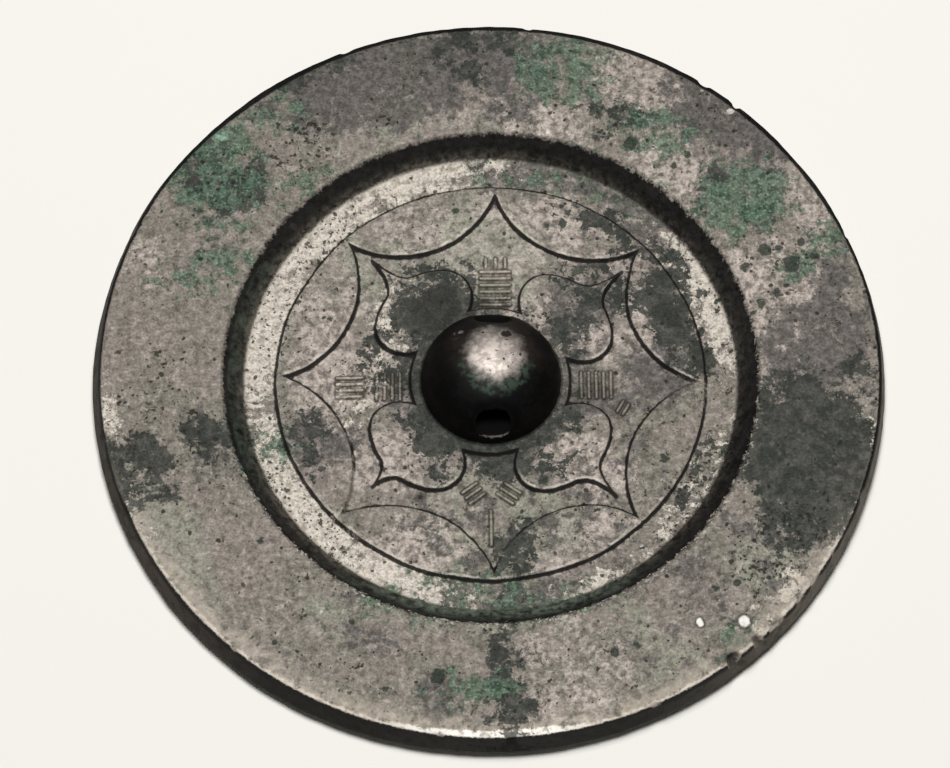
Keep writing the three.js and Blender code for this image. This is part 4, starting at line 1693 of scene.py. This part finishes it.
        # a painted highlight on the lower lip of the hole's near mouth
        sill_highlight = self.times(
            self.gate(self.hole, 0.02, 0.2, 0.5, 0.8),
            self.rise(self.height, 5.9, 5.2),
            self.rise(self.away, -0.3, -0.6),
            self.rise(self.mottle, 0.46, 0.56),
        )
        self.lay(self.times(sill_highlight, 0.7), TINT.sill_highlight)

    def mirror_face(self):
        """The mirror face below: an even, plainer skin."""
        self.under = self.value_at("under")
        tint = self.mix(self.rise(self.cloud, 0.35, 0.65), TINT.face_dark, TINT.face_light)
        tint = self.mix(self.rise(self.mottle, 0.5, 0.66, 0.0, 0.5), tint, TINT.face_green)
        self.lay(self.under, tint)

    def surface(self):
        """The shader: bare metal shines a little, and crusts, soot and the hole are matt."""
        dark = self.most(self.slope, self.wall, self.groove_soot_and_shade, self.hole)
        matt = self.most(self.green, self.earth, self.pits, self.dark_spot, self.under)
        metallic = self.blend(matt, 0.25, 0.0)
        metallic = self.blend(self.most(self.tarnish, dark), metallic, 0.0)
        metallic = self.blend(self.knob, metallic, self.crown)
        rough = self.blend(matt, self.rise(self.mottle, 0.3, 0.7, 0.68, 0.56), 0.85)
        rough = self.blend(self.most(self.tarnish, dark), rough, 0.75)
        knob_rough = self.blend(self.crown, 0.5, self.rise(self.cloud, 0.3, 0.7, 0.66, 0.56))
        rough = self.blend(self.knob, rough, knob_rough)
        rough = self.blend(self.hole, rough, 1.0)
        relief = self.stirred(0.0, self.cloud, 0.9)
        relief = self.stirred(relief, self.mottle, 0.8)
        relief = self.stirred(relief, self.grain, 0.4)
        relief = self.math("MULTIPLY_ADD", self.pits, -0.8, relief)
        relief = self.math("MULTIPLY_ADD", self.most(self.green, self.earth), 0.5, relief)
        relief = self.times(relief, self.blend(self.knob, 1.0, 0.15))
        bump = self.node("ShaderNodeBump", {"Strength": 0.7, "Distance": 0.15 * MM, "Height": relief})
        shader = self.node(
            "ShaderNodeBsdfPrincipled",
            {
                "Base Color": self.tint,
                "Metallic": metallic,
                "Roughness": rough,
                "Specular IOR Level": 0.15,
                "Normal": bump.outputs["Normal"],
            },
        )
        self.node("ShaderNodeOutputMaterial", {"Surface": shader.outputs["BSDF"]})


def bronze_material(colours):
    """Aged bronze: pinkish grey metal under film, tarnish, green, earth, filled grooves and worn edges, with
    painted shade and highlights on the steps, the outer edge, the side wall, round the knob's foot and in
    the cord hole.
    """
    material = bpy.data.materials.new("aged_bronze")
    material.use_nodes = True
    material.node_tree.nodes.clear()
    finish = AgedBronze(material.node_tree, colours)
    finish.metal()
    finish.film()
    finish.earth_crust()
    finish.dark_tarnish()
    finish.green_crust()
    finish.knob_shadow_and_tarnish()
    finish.specks()
    finish.grooves()
    finish.strokes()
    finish.inner_slope()
    finish.outer_edge()
    finish.side_wall()
    finish.mineral_grains()
    finish.knob_skin()
    finish.mirror_face()
    finish.surface()
    return material


def floor_material(look):
    """A plain pale matt floor."""
    material = bpy.data.materials.new("pale_floor")
    material.use_nodes = True
    shader = material.node_tree.nodes["Principled BSDF"]
    shader.inputs["Base Color"].default_value = (*look.floor, 1.0)
    shader.inputs["Roughness"].default_value = 0.9
    shader.inputs["Specular IOR Level"].default_value = 0.0
    return material


# --- Operators ----------------------------------------------------------------------------------------

FLOOR_REACH = 6.0  # metres from the mirror to the floor's edge
LAMP_PLACE = (0.0, 0.11, 1.165)
LAMP_WIDTH = 0.5
ROOM_COLOUR = (1.0, 0.99, 0.97)

# The camera aims at this height, with the mirror a little off the middle of its view, and leans a little
AIM_HEIGHT = 2.3 * MM
AIM_RIGHT = 0.00303
AIM_UP = 0.00046
CAMERA_ROLL = math.radians(-0.292)


class MIRROR_OT_casting(bpy.types.Operator):
    """Build the bronze casting with its relief, its pierced knob and its aged skin"""

    bl_idname = "mirror.casting"
    bl_label = "Bronze Casting"

    def execute(self, context):
        settings = context.scene.mirror_sizes
        names = CastingSizes.__annotations__
        sizes = SimpleNamespace(**{name: getattr(settings, name) / MM for name in names})
        casting = build_casting(sizes)
        casting.data.materials.append(bronze_material(context.scene.mirror_patina))
        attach(casting, "root")
        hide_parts(CAD_NODE)
        return {"FINISHED"}


class MIRROR_OT_stage(bpy.types.Operator):
    """Set the pale floor, the soft light and the camera"""

    bl_idname = "mirror.stage"
    bl_label = "Floor, Light and Camera"

    def execute(self, context):
        look = context.scene.mirror_stage
        self.lay_floor(context, look)
        self.hang_light(context, look)
        self.stand_camera(context, look)
        context.scene.view_settings.view_transform = "Standard"
        return {"FINISHED"}

    def lay_floor(self, context, look):
        """A wide floor at the height of the resting surface."""
        reach = FLOOR_REACH
        data = bpy.data.meshes.new("floor")
        corners = [(-reach, -reach, 0), (reach, -reach, 0), (reach, reach, 0), (-reach, reach, 0)]
        data.from_pydata(corners, [], [(0, 1, 2, 3)])
        data.materials.append(floor_material(look))
        floor = bpy.data.objects.new("floor", data)
        context.scene.collection.objects.link(floor)

    def hang_light(self, context, look):
        """One soft round lamp, high up beyond the mirror, in a dim room."""
        lamp = bpy.data.lights.new("lamp", "AREA")
        lamp.shape = "DISK"
        lamp.size = LAMP_WIDTH
        lamp.energy = look.key_power
        hung = bpy.data.objects.new("lamp", lamp)
        hung.location = LAMP_PLACE
        hung.rotation_euler = (-hung.location).to_track_quat("-Z", "Y").to_euler()
        context.scene.collection.objects.link(hung)
        room = bpy.data.worlds.new("room")
        room.use_nodes = True
        background = room.node_tree.nodes["Background"]
        background.inputs["Color"].default_value = (*ROOM_COLOUR, 1.0)
        background.inputs["Strength"].default_value = look.room_level
        context.scene.world = room

    def stand_camera(self, context, look):
        """A long lens that looks down on the mirror from the side where its pattern stands upright."""
        data = bpy.data.cameras.new("camera")
        data.lens = look.lens
        data.sensor_width = 36.0
        data.clip_start, data.clip_end = 0.05, 20.0
        camera = bpy.data.objects.new("camera", data)
        context.scene.collection.objects.link(camera)
        right = Vector((1, 0, 0))
        up = Vector((0, math.sin(look.camera_height_angle), math.cos(look.camera_height_angle)))
        back = right.cross(up)
        target = Vector((0, 0, AIM_HEIGHT))
        aim = Vector((AIM_RIGHT, AIM_UP, -1)).normalized()
        camera.location = target - look.camera_distance * (right * aim.x + up * aim.y + back * aim.z)
        base = Matrix((right, up, back)).transposed()
        camera.rotation_euler = (base @ Matrix.Rotation(CAMERA_ROLL, 3, "Z")).to_euler()
        context.scene.camera = camera


class MIRROR_PT_panel(bpy.types.Panel):
    """The mirror's pieces and settings"""

    bl_idname = "MIRROR_PT_panel"
    bl_label = "Bronze Mirror"
    bl_space_type = "VIEW_3D"
    bl_region_type = "UI"
    bl_category = "Mirror"

    def draw(self, context):
        layout = self.layout
        for label, group, operator in (
            ("Casting", "mirror_sizes", MIRROR_OT_casting),
            ("Patina", "mirror_patina", None),
            ("Stage", "mirror_stage", MIRROR_OT_stage),
        ):
            box = layout.box()
            box.label(text=label)
            settings = getattr(context.scene, group)
            for name in type(settings).__annotations__:
                box.prop(settings, name)
            if operator:
                box.operator(operator.bl_idname)


CLASSES = (CastingSizes, PatinaColours, StageLook, MIRROR_OT_casting, MIRROR_OT_stage, MIRROR_PT_panel)
SETTINGS = {"mirror_sizes": CastingSizes, "mirror_patina": PatinaColours, "mirror_stage": StageLook}


def register():
    """Registers the classes and their settings on the scene."""
    for cls in CLASSES:
        bpy.utils.register_class(cls)
    for name, group in SETTINGS.items():
        setattr(bpy.types.Scene, name, PointerProperty(type=group))


def unregister():
    """Takes the settings and the classes away again."""
    for name in SETTINGS:
        delattr(bpy.types.Scene, name)
    for cls in reversed(CLASSES):
        bpy.utils.unregister_class(cls)


def main():
    register()
    bpy.ops.mirror.casting()
    bpy.ops.mirror.stage()
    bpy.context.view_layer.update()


if __name__ == "__main__":
    main()
